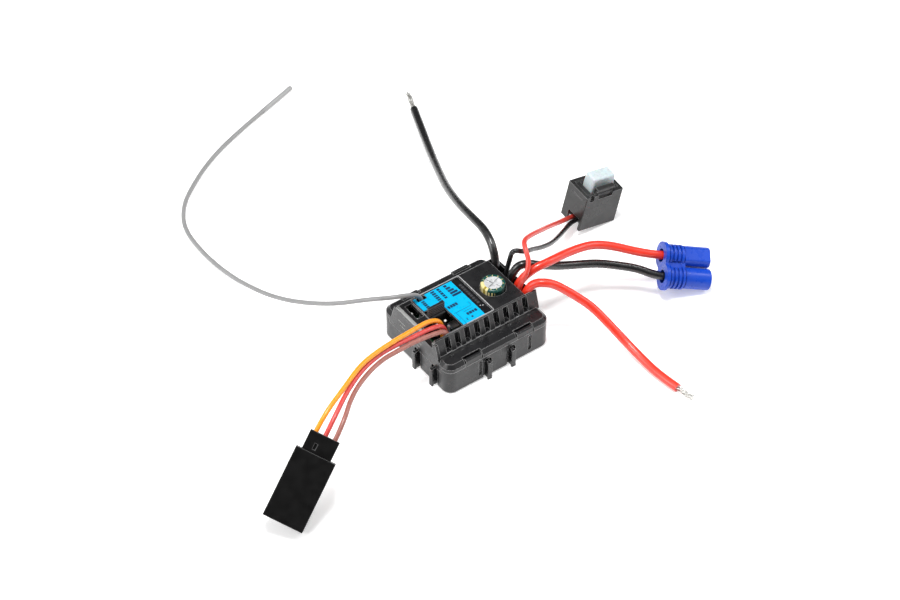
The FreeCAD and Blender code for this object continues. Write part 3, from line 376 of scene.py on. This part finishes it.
def noise(material, size, detail=3.0):
    """Noise whose features are about `size` metres across in the object's own space."""
    texture = add(material, "ShaderNodeTexNoise", Scale=1 / size, Detail=detail)
    link(material, object_point(material), texture.inputs["Vector"])
    return texture.outputs["Fac"]


def ramp(material, source, low, high, start=0.35, end=0.65):
    """Goes from low to high while the source goes from start to end."""
    node = add(material, "ShaderNodeMapRange")
    for key, value in (("From Min", start), ("From Max", end), ("To Min", low), ("To Max", high)):
        node.inputs[key].default_value = value
    link(material, source, node.inputs["Value"])
    return node.outputs["Result"]


def mix(material, factor, first, second):
    """Colour mix; first and second are linear colours or sockets."""
    node = add(material, "ShaderNodeMix", data_type="RGBA")
    link(material, factor, node.inputs["Factor"])
    for value, place in zip((first, second), MIX_COLOURS):
        if isinstance(value, tuple):
            node.inputs[place].default_value = (*value, 1)
        else:
            link(material, value, node.inputs[place])
    return node.outputs[MIX_RESULT]


def math_node(material, operation, first, second=None):
    """One calculation on sockets or numbers."""
    node = add(material, "ShaderNodeMath", operation=operation)
    for value, target in ((first, node.inputs[0]), (second, node.inputs[1])):
        if isinstance(value, (int, float)):
            target.default_value = value
        elif value is not None:
            link(material, value, target)
    return node.outputs["Value"]


def times(material, first, second):
    return math_node(material, "MULTIPLY", first, second)


def above(material, value, bound):
    """One where the value is above the bound, nought elsewhere."""
    return math_node(material, "GREATER_THAN", value, bound)


def below(material, value, bound):
    """One where the value is below the bound, nought elsewhere."""
    return math_node(material, "LESS_THAN", value, bound)


def between(material, value, low, high):
    """One where the value lies between two bounds, nought elsewhere."""
    return times(material, above(material, value, low), below(material, value, high))


def set_colour(material, source):
    link(material, source, shader_input(material, "Base Color"))


def set_roughness(material, source, low, high):
    """Roughness that goes from low to high with a noise."""
    link(material, ramp(material, source, low, high), shader_input(material, "Roughness"))


def set_bump(material, height, distance, strength=1.0, edge_radius=0.0):
    """Bump from a height, over corners rounded by a small radius."""
    node = add(material, "ShaderNodeBump", Distance=distance, Strength=strength)
    link(material, height, node.inputs["Height"])
    if edge_radius:
        corner = add(material, "ShaderNodeBevel", samples=BEVEL_SAMPLES, Radius=edge_radius)
        link(material, corner.outputs["Normal"], node.inputs["Normal"])
    link(material, node.outputs["Normal"], shader_input(material, "Normal"))


def edge_mask(material, radius):
    """Nought on flat faces, rising to one where a face meets another within the radius."""
    corner = add(material, "ShaderNodeBevel", samples=BEVEL_SAMPLES, Radius=radius)
    face = add(material, "ShaderNodeNewGeometry")
    dot = add(material, "ShaderNodeVectorMath", operation="DOT_PRODUCT")
    link(material, corner.outputs["Normal"], dot.inputs[0])
    link(material, face.outputs["True Normal"], dot.inputs[1])
    return ramp(material, dot.outputs["Value"], 0.0, 1.0, HIGHLIGHT_START, HIGHLIGHT_FULL)


def retint(material, mask, colour):
    """Paints a colour over what the base colour already is, where the mask is one."""
    target = shader_input(material, "Base Color")
    painted = mix(material, mask, target.links[0].from_socket, colour)
    link(material, painted, target)


def shade(colour, factor):
    return tuple(min(1.0, channel * factor) for channel in colour)


# ---------------------------------------------------------------- plastics and metals
def moulded(name, colour, roughness, depth=0.000006, wear=0.25, edge=0.00012, edge_highlight=0.0, **inputs):
    """Injection-moulded plastic: fine grain, slow tone drift, rubbed patches and a pale painted highlight
    along its edges.
    """
    material = new_material(name, colour, roughness, **inputs)
    drift = noise(material, size=0.006, detail=2.0)
    scuffs = ramp(material, noise(material, size=0.0009, detail=6.0), 0.0, wear, start=0.64, end=0.78)
    toned = mix(material, drift, shade(colour, 0.85), shade(colour, 1.18))
    toned = mix(material, scuffs, toned, shade(colour, 2.2))
    # painted highlight: pale lines along every edge, in patches
    if edge_highlight:
        edge_lit = times(material, edge_mask(material, EDGE_HIGHLIGHT_R), edge_highlight)
        patchy = ramp(material, noise(material, size=0.0030, detail=2.0), 0.75, 1.0, start=0.3, end=0.6)
        toned = mix(material, times(material, edge_lit, patchy), toned, EDGE_HIGHLIGHT_GREY)
    set_colour(material, toned)
    set_roughness(material, noise(material, size=0.0022, detail=4.0), roughness - 0.07, roughness + 0.09)
    set_bump(material, noise(material, size=GRAIN, detail=2.0), depth, 1.0, edge)
    return material


def silicone(name, colour, roughness, **inputs):
    """Soft insulation: faint lengthwise mottling, dust and a slightly uneven skin."""
    material = new_material(name, colour, roughness, **inputs)
    drift = noise(material, size=0.004)
    dust = ramp(material, noise(material, size=0.0005, detail=5.0), 0.0, 0.22, start=0.68, end=0.82)
    toned = mix(material, drift, shade(colour, 0.84), shade(colour, 1.14))
    pale = tuple(0.75 * channel + 0.06 for channel in colour)
    set_colour(material, mix(material, dust, toned, pale))
    set_roughness(material, noise(material, size=0.0015, detail=4.0), roughness - 0.06, roughness + 0.1)
    set_bump(material, noise(material, size=0.0007), 0.000016, 0.7)
    return material


def metal(name, colour, roughness, metallic=1.0, tarnished=0.62):
    """Plated metal with fine working marks and a little tarnish."""
    material = new_material(name, colour, roughness, Metallic=metallic)
    tarnish = ramp(material, noise(material, size=0.001, detail=4.0), 0.0, 0.45, start=0.45, end=0.75)
    set_colour(material, mix(material, tarnish, colour, shade(colour, tarnished)))
    marks = noise(material, size=0.0003)
    set_roughness(material, marks, roughness - 0.1, roughness + 0.14)
    set_bump(material, marks, 0.000008, 0.8, edge_radius=0.00005)
    return material


def milky(name, colour, transmission, roughness):
    """Cloudy translucent plastic."""
    material = new_material(name, colour, roughness, **{"Transmission Weight": transmission}, **CLOUDY)
    drift = noise(material, size=0.0022)
    set_colour(material, mix(material, drift, shade(colour, 0.92), shade(colour, 1.06)))
    set_roughness(material, noise(material, size=0.0008, detail=4.0), roughness - 0.08, roughness + 0.1)
    set_bump(material, noise(material, size=0.0006), 0.000012, 0.6, edge_radius=0.00012)
    return material


# ---------------------------------------------------------------- materials of one piece each
def paint_lip_highlight(material):
    """Painted highlight: a paler band along the top of the cover's end wall."""
    low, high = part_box("upper_cover")
    x, _, z = object_axes(material)
    at_end = below(material, x, low[0] + LIP_DEPTH)
    at_top = above(material, z, high[2] - LIP_DROP)
    # painted highlight on the lip
    retint(material, times(material, at_end, at_top), LIP_HIGHLIGHT_GREY)


def darken_ticks(material):
    """Keeps the painted edge highlight off the small moulded ticks on the ledges."""
    _, y, z = object_axes(material)
    at_ledge = between(material, math_node(material, "ABSOLUTE", y), *TICK_Y)
    retint(material, times(material, at_ledge, between(material, z, *TICK_Z)), TICK_BLACK)


def jumper_material():
    """Black plastic whose fin has painted shade in its grooves and a painted highlight on its ribs."""
    material = moulded("jumper_plastic", DEEP_BLACK, 0.4, 0.000003, wear=0.1)
    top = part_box("jumper_housing")[1][2]
    z = object_axes(material)[2]
    above_groove = math_node(material, "SUBTRACT", z, top - FIN_FIRST_GROOVE)
    wave = math_node(material, "COSINE", times(material, above_groove, 2 * math.pi / FIN_RIB_PITCH))
    crest_highlight = ramp(material, wave, 1.0, 0.0, start=-0.4, end=0.4)
    shaded_fin = above(material, z, top - FIN_HEIGHT)
    # painted shade over the whole fin, then painted highlight on each rib
    retint(material, shaded_fin, FIN_GROOVE_SHADE)
    retint(material, times(material, shaded_fin, crest_highlight), FIN_CREST_HIGHLIGHT)
    return material


def pin_material(node):
    """Tinned pins, with painted shade where they stand in their header, and bright tips."""
    material = metal(f"{node}_tin", BRIGHT_TIN, 0.4, metallic=0.2, tarnished=0.9)
    z = object_axes(material)[2]
    # painted shade below the tip, where the pin stands in its header
    retint(material, below(material, z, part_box(node)[1][2] - PIN_TIP), PIN_PAINTED_SHADE)
    return material


def label_material():
    """Glossy vinyl: a blue field, and beyond it a black strip."""
    material = new_material("label_vinyl", LABEL_BLUE, 0.32, **specular(0.25))
    on_strip = above(material, object_axes(material)[0], LABEL_SPLIT_X)
    drift = noise(material, size=0.005)
    blue = mix(material, drift, shade(LABEL_BLUE, 0.93), shade(LABEL_BLUE, 1.06))
    set_colour(material, mix(material, on_strip, blue, DEEP_BLACK))
    set_roughness(material, noise(material, size=0.0012, detail=4.0), 0.24, 0.38)
    set_bump(material, noise(material, size=0.002), 0.00002, 0.5)
    return material


def around_capacitor(material):
    """Sockets for the point's x, y and z, with x and y from the capacitor's axis."""
    low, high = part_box("capacitor_can")
    x, y, z = object_axes(material)
    x = math_node(material, "SUBTRACT", x, (low[0] + high[0]) / 2)
    y = math_node(material, "SUBTRACT", y, (low[1] + high[1]) / 2)
    return x, y, z


def from_axis(material, x, y):
    """Distance from the capacitor's axis."""
    squares = math_node(material, "ADD", times(material, x, x), times(material, y, y))
    return math_node(material, "SQRT", squares)


def angle_band(material, angle, middle, half_width):
    """One inside a band of angles round the capacitor, nought outside; the band is in degrees."""
    offset = math_node(material, "SUBTRACT", angle, math.radians(middle))
    return below(material, math_node(material, "ABSOLUTE", offset), math.radians(half_width))


def repeats(material, angle, count, cut):
    """One at each of `count` marks in a whole turn, nought between them."""
    return above(material, math_node(material, "SINE", times(material, angle, count)), cut)


def sleeve_material():
    """Dark green shrink sleeve with a cream polarity stripe, gold strokes, ticks round its rim, and painted
    shade on its side wall.
    """
    material = new_material("capacitor_sleeve", SLEEVE_GREEN, 0.22)
    low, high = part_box("capacitor_sleeve")
    x, y, z = around_capacitor(material)
    # measured from -X, so that the stripe doesn't straddle the jump at half a turn
    angle = math_node(material, "ARCTAN2", times(material, y, -1.0), times(material, x, -1.0))
    shaded_wall = below(material, z, high[2] - SLEEVE_RIM)
    # painted shade: the side wall below the rim is darker
    colour = mix(material, shaded_wall, SLEEVE_GREEN, shade(SLEEVE_GREEN, 0.35))
    strokes = times(material, repeats(material, angle, STROKE_COUNT, STROKE_CUT), shaded_wall)
    strokes = times(material, angle_band(material, angle, *SLEEVE_STROKES), strokes)
    colour = mix(material, strokes, colour, STRIPE_CREAM)
    inside = below(material, from_axis(material, x, y), SLEEVE_RIM_R * (high[0] - low[0]))
    ticks = times(material, repeats(material, angle, RIM_TICK_COUNT, RIM_TICK_CUT), inside)
    colour = mix(material, ticks, colour, STRIPE_CREAM)
    stripe = mix(material, angle_band(material, angle, *SLEEVE_STRIPE_CORE), STRIPE_CREAM, STRIPE_OLIVE)
    set_colour(material, mix(material, angle_band(material, angle, *SLEEVE_STRIPE), colour, stripe))
    set_roughness(material, noise(material, size=0.0012), 0.16, 0.32)
    set_bump(material, noise(material, size=0.0012), 0.00003, 0.6)
    return material


def turned_offset(material, x, y, angle):
    """Distance from a line through the capacitor's axis at an angle to +X."""
    turn = math.radians(angle)
    across = times(material, x, -math.sin(turn))
    along = times(material, y, math.cos(turn))
    return math_node(material, "ABSOLUTE", math_node(material, "ADD", across, along))


def can_material():
    """Bright aluminium end with fine turning rings and a scored cross whose lines are painted darker as
    shade.
    """
    material = new_material("capacitor_aluminium", CAN_GREY, 0.3, Metallic=0.5)
    x, y, _ = around_capacitor(material)
    rings = math_node(material, "SINE", times(material, from_axis(material, x, y), CAN_RINGS))
    smudge = ramp(material, noise(material, size=0.0011, detail=4.0), 0.0, 0.6, start=0.4, end=0.7)
    toned = mix(material, smudge, CAN_BRIGHT, CAN_DULL)
    offsets = [turned_offset(material, x, y, angle) for angle in VENT_ANGLES]
    # painted shade along the scored cross
    score_shade = below(material, math_node(material, "MINIMUM", *offsets), VENT_HALF)
    set_colour(material, mix(material, score_shade, toned, CAN_SCORE_SHADE))
    set_roughness(material, noise(material, size=0.0009, detail=5.0), 0.2, 0.42)
    dents = times(material, noise(material, size=0.0008, detail=4.0), CAN_DENTS)
    set_bump(material, math_node(material, "ADD", rings, dents), 0.0000015)
    return material


def board_material():
    """Green solder mask over copper tracks."""
    material = new_material("circuit_board", BOARD_GREEN, 0.3)
    tracks = add(material, "ShaderNodeTexBrick", Scale=TRACK_SCALE, Mortar_Size=TRACK_GAP)
    link(material, object_point(material), tracks.inputs["Vector"])
    tone = mix(material, tracks.outputs["Fac"], BOARD_GREEN, shade(BOARD_GREEN, 1.9))
    set_colour(material, mix(material, noise(material, size=0.003), tone, shade(BOARD_GREEN, 0.8)))
    set_bump(material, tracks.outputs["Fac"], 0.00002, 0.6)
    return material


def floor_material():
    """Pale, faintly uneven tabletop."""
    material = new_material("pale_floor", FLOOR_GREY, 0.55, **{"Emission Strength": FLOOR_GLOW})
    shader_input(material, "Emission Color").default_value = (1, 1, 1, 1)
    set_colour(material, mix(material, noise(material, size=0.05, detail=2.0), *FLOOR_TONES))
    return material


# ---------------------------------------------------------------- object helpers
def add_object(name, data, material):
    """New piece on the root body, with its finish."""
    obj = bpy.data.objects.new(name, data)
    bpy.context.scene.collection.objects.link(obj)
    data.materials.append(material)
    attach(obj, BODY)
    return obj


def dress(material, *nodes):
    """Gives CAD nodes a finished material."""
    for node in nodes:
        for slot in NODES[node].material_slots:
            slot.material = material


def mesh_data(name, mesh):
    """Turns a bmesh into mesh data and frees it."""
    data = bpy.data.meshes.new(name)
    mesh.to_mesh(data)
    mesh.free()
    return data


def smooth_curve(name, splines, radius):
    """Curve of open NURBS splines from their control points, swept to a round section."""
    curve = bpy.data.curves.new(name, "CURVE")
    curve.dimensions = "3D"
    curve.bevel_depth = radius
    curve.bevel_resolution = 6
    curve.resolution_u = 14
    curve.use_fill_caps = True
    for points in splines:
        spline = curve.splines.new("NURBS")
        spline.points.add(len(points) - 1)
        for point, at in zip(spline.points, points):
            point.co = (*at, 1)
        spline.order_u = 3
        spline.use_endpoint_u = True
    return curve


# ---------------------------------------------------------------- leads
def lead(name, material):
    """One lead's insulation along its route, in place of its CAD solid."""
    diameter = LEADS[name][0]
    obj = add_object(f"{name}_line", smooth_curve(name, [ROUTES[name]], diameter / 2), material)
    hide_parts(name)
    return obj


def route_end(name):
    """Last point of a lead and its level heading there."""
    end = Vector(ROUTES[name][-1])
    heading = end - Vector(ROUTES[name][-2])
    heading.z = 0
    return end, heading.normalized()


def strand_points(start, heading, reach, ring, phase, splay):
    """One strand: it twists round the lead's line and spreads towards its end."""
    side = heading.cross(Vector((0, 0, 1)))
    up = side.cross(heading)
    points = []
    for step in range(STRAND_STEPS + 1):
        t = step / STRAND_STEPS
        turn = phase + STRAND_TWIST * t
        spread = ring * (1 + (splay - 1) * max(0.0, t - SPLAY_FROM))
        points.append(start + heading * (reach * t) + spread * (side * math.cos(turn) + up * math.sin(turn)))
    return points


def strands(colour, material):
    """Tinned twisted strands, slightly frayed, at the end of a motor lead."""
    start, heading = route_end(f"motor_wire_{colour}")
    rng = random.Random(SEED + len(colour))
    lines = []
    for count, ring in STRAND_RINGS:
        for i in range(count):
            phase = 2 * math.pi * i / count + rng.uniform(0, STRAND_PHASE)
            reach = TIP_LENGTH[colour] * rng.uniform(*STRAND_REACH)
            lines.append(strand_points(start, heading, reach, ring, phase, rng.uniform(*STRAND_SPLAY)))
    data = smooth_curve(f"motor_strands_{colour}", lines, STRAND_R)
    obj = add_object(f"motor_strands_{colour}", data, material)
    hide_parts(f"motor_tip_{colour}")


# ---------------------------------------------------------------- label details
def rounded_outline(cx, cy, size_x, size_y, radius):
    """Corner-rounded rectangle as a closed list of points."""
    points = []
    for sx, sy, start in ((1, 1, 0), (-1, 1, 90), (-1, -1, 180), (1, -1, 270)):
        for i in range(CORNER_STEPS + 1):
            angle = math.radians(start + 90 * i / CORNER_STEPS)
            points.append((cx + sx * (size_x / 2 - radius) + radius * math.cos(angle),
                           cy + sy * (size_y / 2 - radius) + radius * math.sin(angle)))
    return points


def dash_row(rng, middle, length, height, count, along_x, share=DASH_SHARE):
    """A row of dashes of uneven length, in place of a line of print."""
    pitch = length / count
    marks = []
    for i in range(count):
        size = pitch * rng.uniform(*share)
        offset = (i + 0.5) * pitch - length / 2
        if along_x:
            marks.append((middle[0] + offset, middle[1], size, height))
        else:
            marks.append((middle[0], middle[1] + offset, height, size))
    return marks


def dash_rows(rng, rows, share=DASH_SHARE):
    return [mark for row in rows for mark in dash_row(rng, *row, share)]


def rising_scale():
    """Bars of rising height with a common foot."""
    marks = []
    for i, height in enumerate(SCALE_STEPS):
        marks.append((SCALE_FOOT_X + height / 2, SCALE_FIRST_Y - i * SCALE_PITCH, height, SCALE_BAR))
    return marks


def printed_bars(name, bars, material, origin, across, up, slot="label_vinyl"):
    """Thin rounded bars of ink on a plane; each is its middle and its size, in millimetres."""
    outwards = Vector(across).cross(Vector(up))
    mesh = bmesh.new()
    for cx, cy, size_x, size_y in bars:
        radius = min(MARK_CORNER, MARK_ROUNDING * min(size_x, size_y)) * MM
        outline = rounded_outline(cx * MM, cy * MM, size_x * MM, size_y * MM, radius)
        corners = [Vector(origin) + x * Vector(across) + y * Vector(up) for x, y in outline]
        face = mesh.faces.new([mesh.verts.new(corner) for corner in corners])
        grown = bmesh.ops.extrude_face_region(mesh, geom=[face])
        raised = [v for v in grown["geom"] if isinstance(v, bmesh.types.BMVert)]
        bmesh.ops.translate(mesh, verts=raised, vec=PRINT_T * outwards)
    bmesh.ops.recalc_face_normals(mesh, faces=mesh.faces)
    add_object(name, mesh_data(name, mesh), material)


def ink(name, colour, roughness):
    """Printed ink; it is too thin to have rounded edges."""
    return moulded(name, colour, roughness, edge=0.0)


def label_print():
    rng = random.Random(SEED)
    plane = ((0, 0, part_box("top_label")[1][2]), (1, 0, 0), (0, 1, 0))
    marks = dash_rows(rng, LABEL_ROWS) + rising_scale() + LABEL_MARKS
    printed_bars("label_print", marks, ink("label_ink", INK_BLUE, 0.36), *plane)
    printed_bars("strip_print", dash_rows(rng, STRIP_ROWS), ink("strip_ink", STRIP_INK, 0.3), *plane)
    printed_bars("strip_marks", STRIP_MARKS, ink("strip_white", STRIP_WHITE, 0.4), *plane)


def end_print():
    """Rows of tiny pale marks on the cover's end panel."""
    marks = dash_rows(random.Random(SEED), END_ROWS, END_DASH_SHARE)
    plane = ((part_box("upper_cover")[0][0], 0, 0), (0, -1, 0), (0, 0, 1))
    printed_bars("end_print", marks, ink("end_ink", END_INK, 0.4), *plane, "case_plastic")


def label_border():
    """Pale line along three sides of the label's recess."""
    low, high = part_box("top_label")
    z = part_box("upper_cover")[1][2] - BORDER_R * BORDER_SINK
    side = high[1] + BORDER_SIDE_GAP
    end = high[0] + BORDER_END_GAP
    before, middle = BORDER_SIDE_X
    level = [(low[0] + BORDER_START, side), (before, side), (middle, side), (end - BORDER_CORNER, side),
             (end, side), (end, side - BORDER_CORNER), (end, 0.0), (end, BORDER_CORNER - side),
             (end, -side), (end - BORDER_CORNER, -side), (middle, -side), (BORDER_LAST_X, -side)]
    data = smooth_curve("label_border", [[(x, y, z) for x, y in level]], BORDER_R)
    add_object("label_border_line", data, ink("border_line", BORDER_GREY, 0.35))


# ---------------------------------------------------------------- dressing
def make_leads():
    red = silicone("wire_red", RED, 0.34, **SKIN_COAT)
    black = silicone("wire_black", WIRE_BLACK, 0.26, **SKIN_COAT)
    looks = {
        "motor_wire_black": (black, "wire_black"),
        "motor_wire_red": (red, "wire_red"),
        "battery_wire_red": (red, "wire_red"),
        "battery_wire_black": (black, "wire_black"),
        "switch_wire_red": (silicone("wire_switch_red", SWITCH_RED, 0.34, **SKIN_COAT), "wire_red"),
        "switch_wire_black": (black, "wire_black"),
        "servo_wire_orange": (silicone("wire_orange", ORANGE, 0.26), "wire_orange"),
        "servo_wire_red": (silicone("wire_servo_red", SERVO_RED, 0.26), "wire_red"),
        "servo_wire_brown": (silicone("wire_brown", BROWN, 0.26), "wire_brown"),
        "antenna_cable": (silicone("antenna_jacket", COAX_GREY, 0.34), "antenna_jacket"),
    }
    tinned = metal("tinned_copper", TIN, 0.24, tarnished=0.35)
    for colour in TIP_LENGTH:
        strands(colour, tinned)
    for name, (look, slot) in looks.items():
        lead(name, look)


def dress_case():
    case = moulded("case_plastic", BLACK, 0.30, 0.000002, 0.06, edge=0.0002, edge_highlight=0.8, **specular(0.5))
    paint_lip_highlight(case)
    darken_ticks(case)
    dress(case, "lower_case", "upper_cover")
    dress(moulded("seal_rubber", DEEP_BLACK, 0.7), "case_gasket", "capacitor_bung", "wire_seal", "servo_seal")
    dress(label_material(), "top_label")
    label_print()
    end_print()
    label_border()


def dress_electronics():
    tin = metal("pin_tin", BRIGHT_TIN, 0.4, metallic=0.3, tarnished=0.85)
    dress(board_material(), "main_board", "receiver_board")
    dress(moulded("chip_epoxy", CHIP_BLACK, 0.5), "power_transistors", "microcontroller",
          "voltage_regulator", "radio_chip")
    dress(tin, "crystal", "board_header_pins", "capacitor_leads", "antenna_pad", "switch_terminals")
    for node in ("bind_pins", "selector_pins"):
        dress(pin_material(node), node)
    dress(moulded("header_plastic", SERVO_BLACK, 0.5, wear=0.05, **specular(0.2)),
          "board_header", "bind_header", "selector_header")
    dress(jumper_material(), "jumper_housing")
    dress(metal("contact_gold", GOLD, 0.22), "jumper_contact", "servo_plug_pins", "battery_plug_contacts")
    dress(milky("light_guide", LIGHT_GUIDE, 0.8, 0.15), "status_light")
    dress(can_material(), "capacitor_can")
    dress(sleeve_material(), "capacitor_sleeve")


def dress_plugs():
    servo = moulded("servo_plastic", SERVO_BLACK, 0.42, wear=0.06, edge_highlight=0.30, **specular(0.16))
    dress(servo, "servo_plug_shell", "servo_plug_insert")
    plug = moulded("plug_blue", PLUG_BLUE, 0.30, 0.000003, wear=0.06, **specular(0.35))
    dress(plug, "battery_plug_housing")
    switch = moulded("switch_plastic", SWITCH_BLACK, 0.34, 0.000003, wear=0.1, edge_highlight=0.5, **specular(0.4))
    dress(switch, "switch_housing", "switch_body")
    dress(milky("button_plastic", BUTTON_MILK, 0.0, 0.28), "switch_button", "switch_plunger")
    dress(moulded("dark_glue", GLUE, 0.2, edge=0.0003), "switch_seal")
    dress(silicone("antenna_core", CORE_GREY, 0.2), "antenna_tip")


# ---------------------------------------------------------------- scene
def make_camera():
    data = bpy.data.cameras.new("camera")
    data.lens = CAMERA_LENS
    data.sensor_width = CAMERA_SENSOR
    data.clip_start = CAMERA_NEAR
    camera = bpy.data.objects.new("camera", data)
    camera.location = CAMERA_AT
    camera.rotation_euler = Euler((math.radians(90 - CAMERA_ELEVATION), 0, math.radians(CAMERA_AZIMUTH)))
    bpy.context.scene.collection.objects.link(camera)
    bpy.context.scene.camera = camera


def area_light(name, location, size, power):
    """Round soft box that faces the middle of the object."""
    data = bpy.data.lights.new(name, "AREA")
    data.shape = "DISK"
    data.size = size
    data.energy = power
    light = bpy.data.objects.new(name, data)
    light.location = location
    light.rotation_euler = (-Vector(location)).to_track_quat("-Z", "Y").to_euler()
    bpy.context.scene.collection.objects.link(light)


def make_world():
    """White studio that falls off towards one heading and away from it, so that flat tops stay dark."""
    world = bpy.data.worlds.new("studio")
    bpy.context.scene.world = world
    world.use_nodes = True
    background = world.node_tree.nodes["Background"]
    background.inputs["Color"].default_value = (1, 1, 1, 1)
    direction = add(world, "ShaderNodeTexCoord").outputs["Generated"]
    dot = add(world, "ShaderNodeVectorMath", operation="DOT_PRODUCT")
    dot.inputs[1].default_value = DARK_HEADING
    link(world, direction, dot.inputs[0])
    depth = math_node(world, "ABSOLUTE", dot.outputs["Value"])
    link(world, ramp(world, depth, WORLD_BRIGHT, WORLD_DARK, *WORLD_FADE), background.inputs["Strength"])


def make_light():
    make_world()
    for name, (location, size, power) in SOFT_BOXES.items():
        area_light(name, location, size, power)


def make_floor():
    """Wide plane just under everything that is in the scene by then."""
    low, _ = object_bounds()
    mesh = bmesh.new()
    bmesh.ops.create_grid(mesh, x_segments=4, y_segments=4, size=FLOOR_HALF)
    bmesh.ops.translate(mesh, verts=mesh.verts, vec=(0, 0, low[2] - FLOOR_GAP))
    floor = bpy.data.objects.new("floor", mesh_data("floor", mesh))
    floor.data.materials.append(floor_material())
    bpy.context.scene.collection.objects.link(floor)


make_camera()
make_leads()
dress_case()
dress_electronics()
dress_plugs()
make_light()
make_floor()
bpy.context.scene.view_settings.view_transform = "Standard"
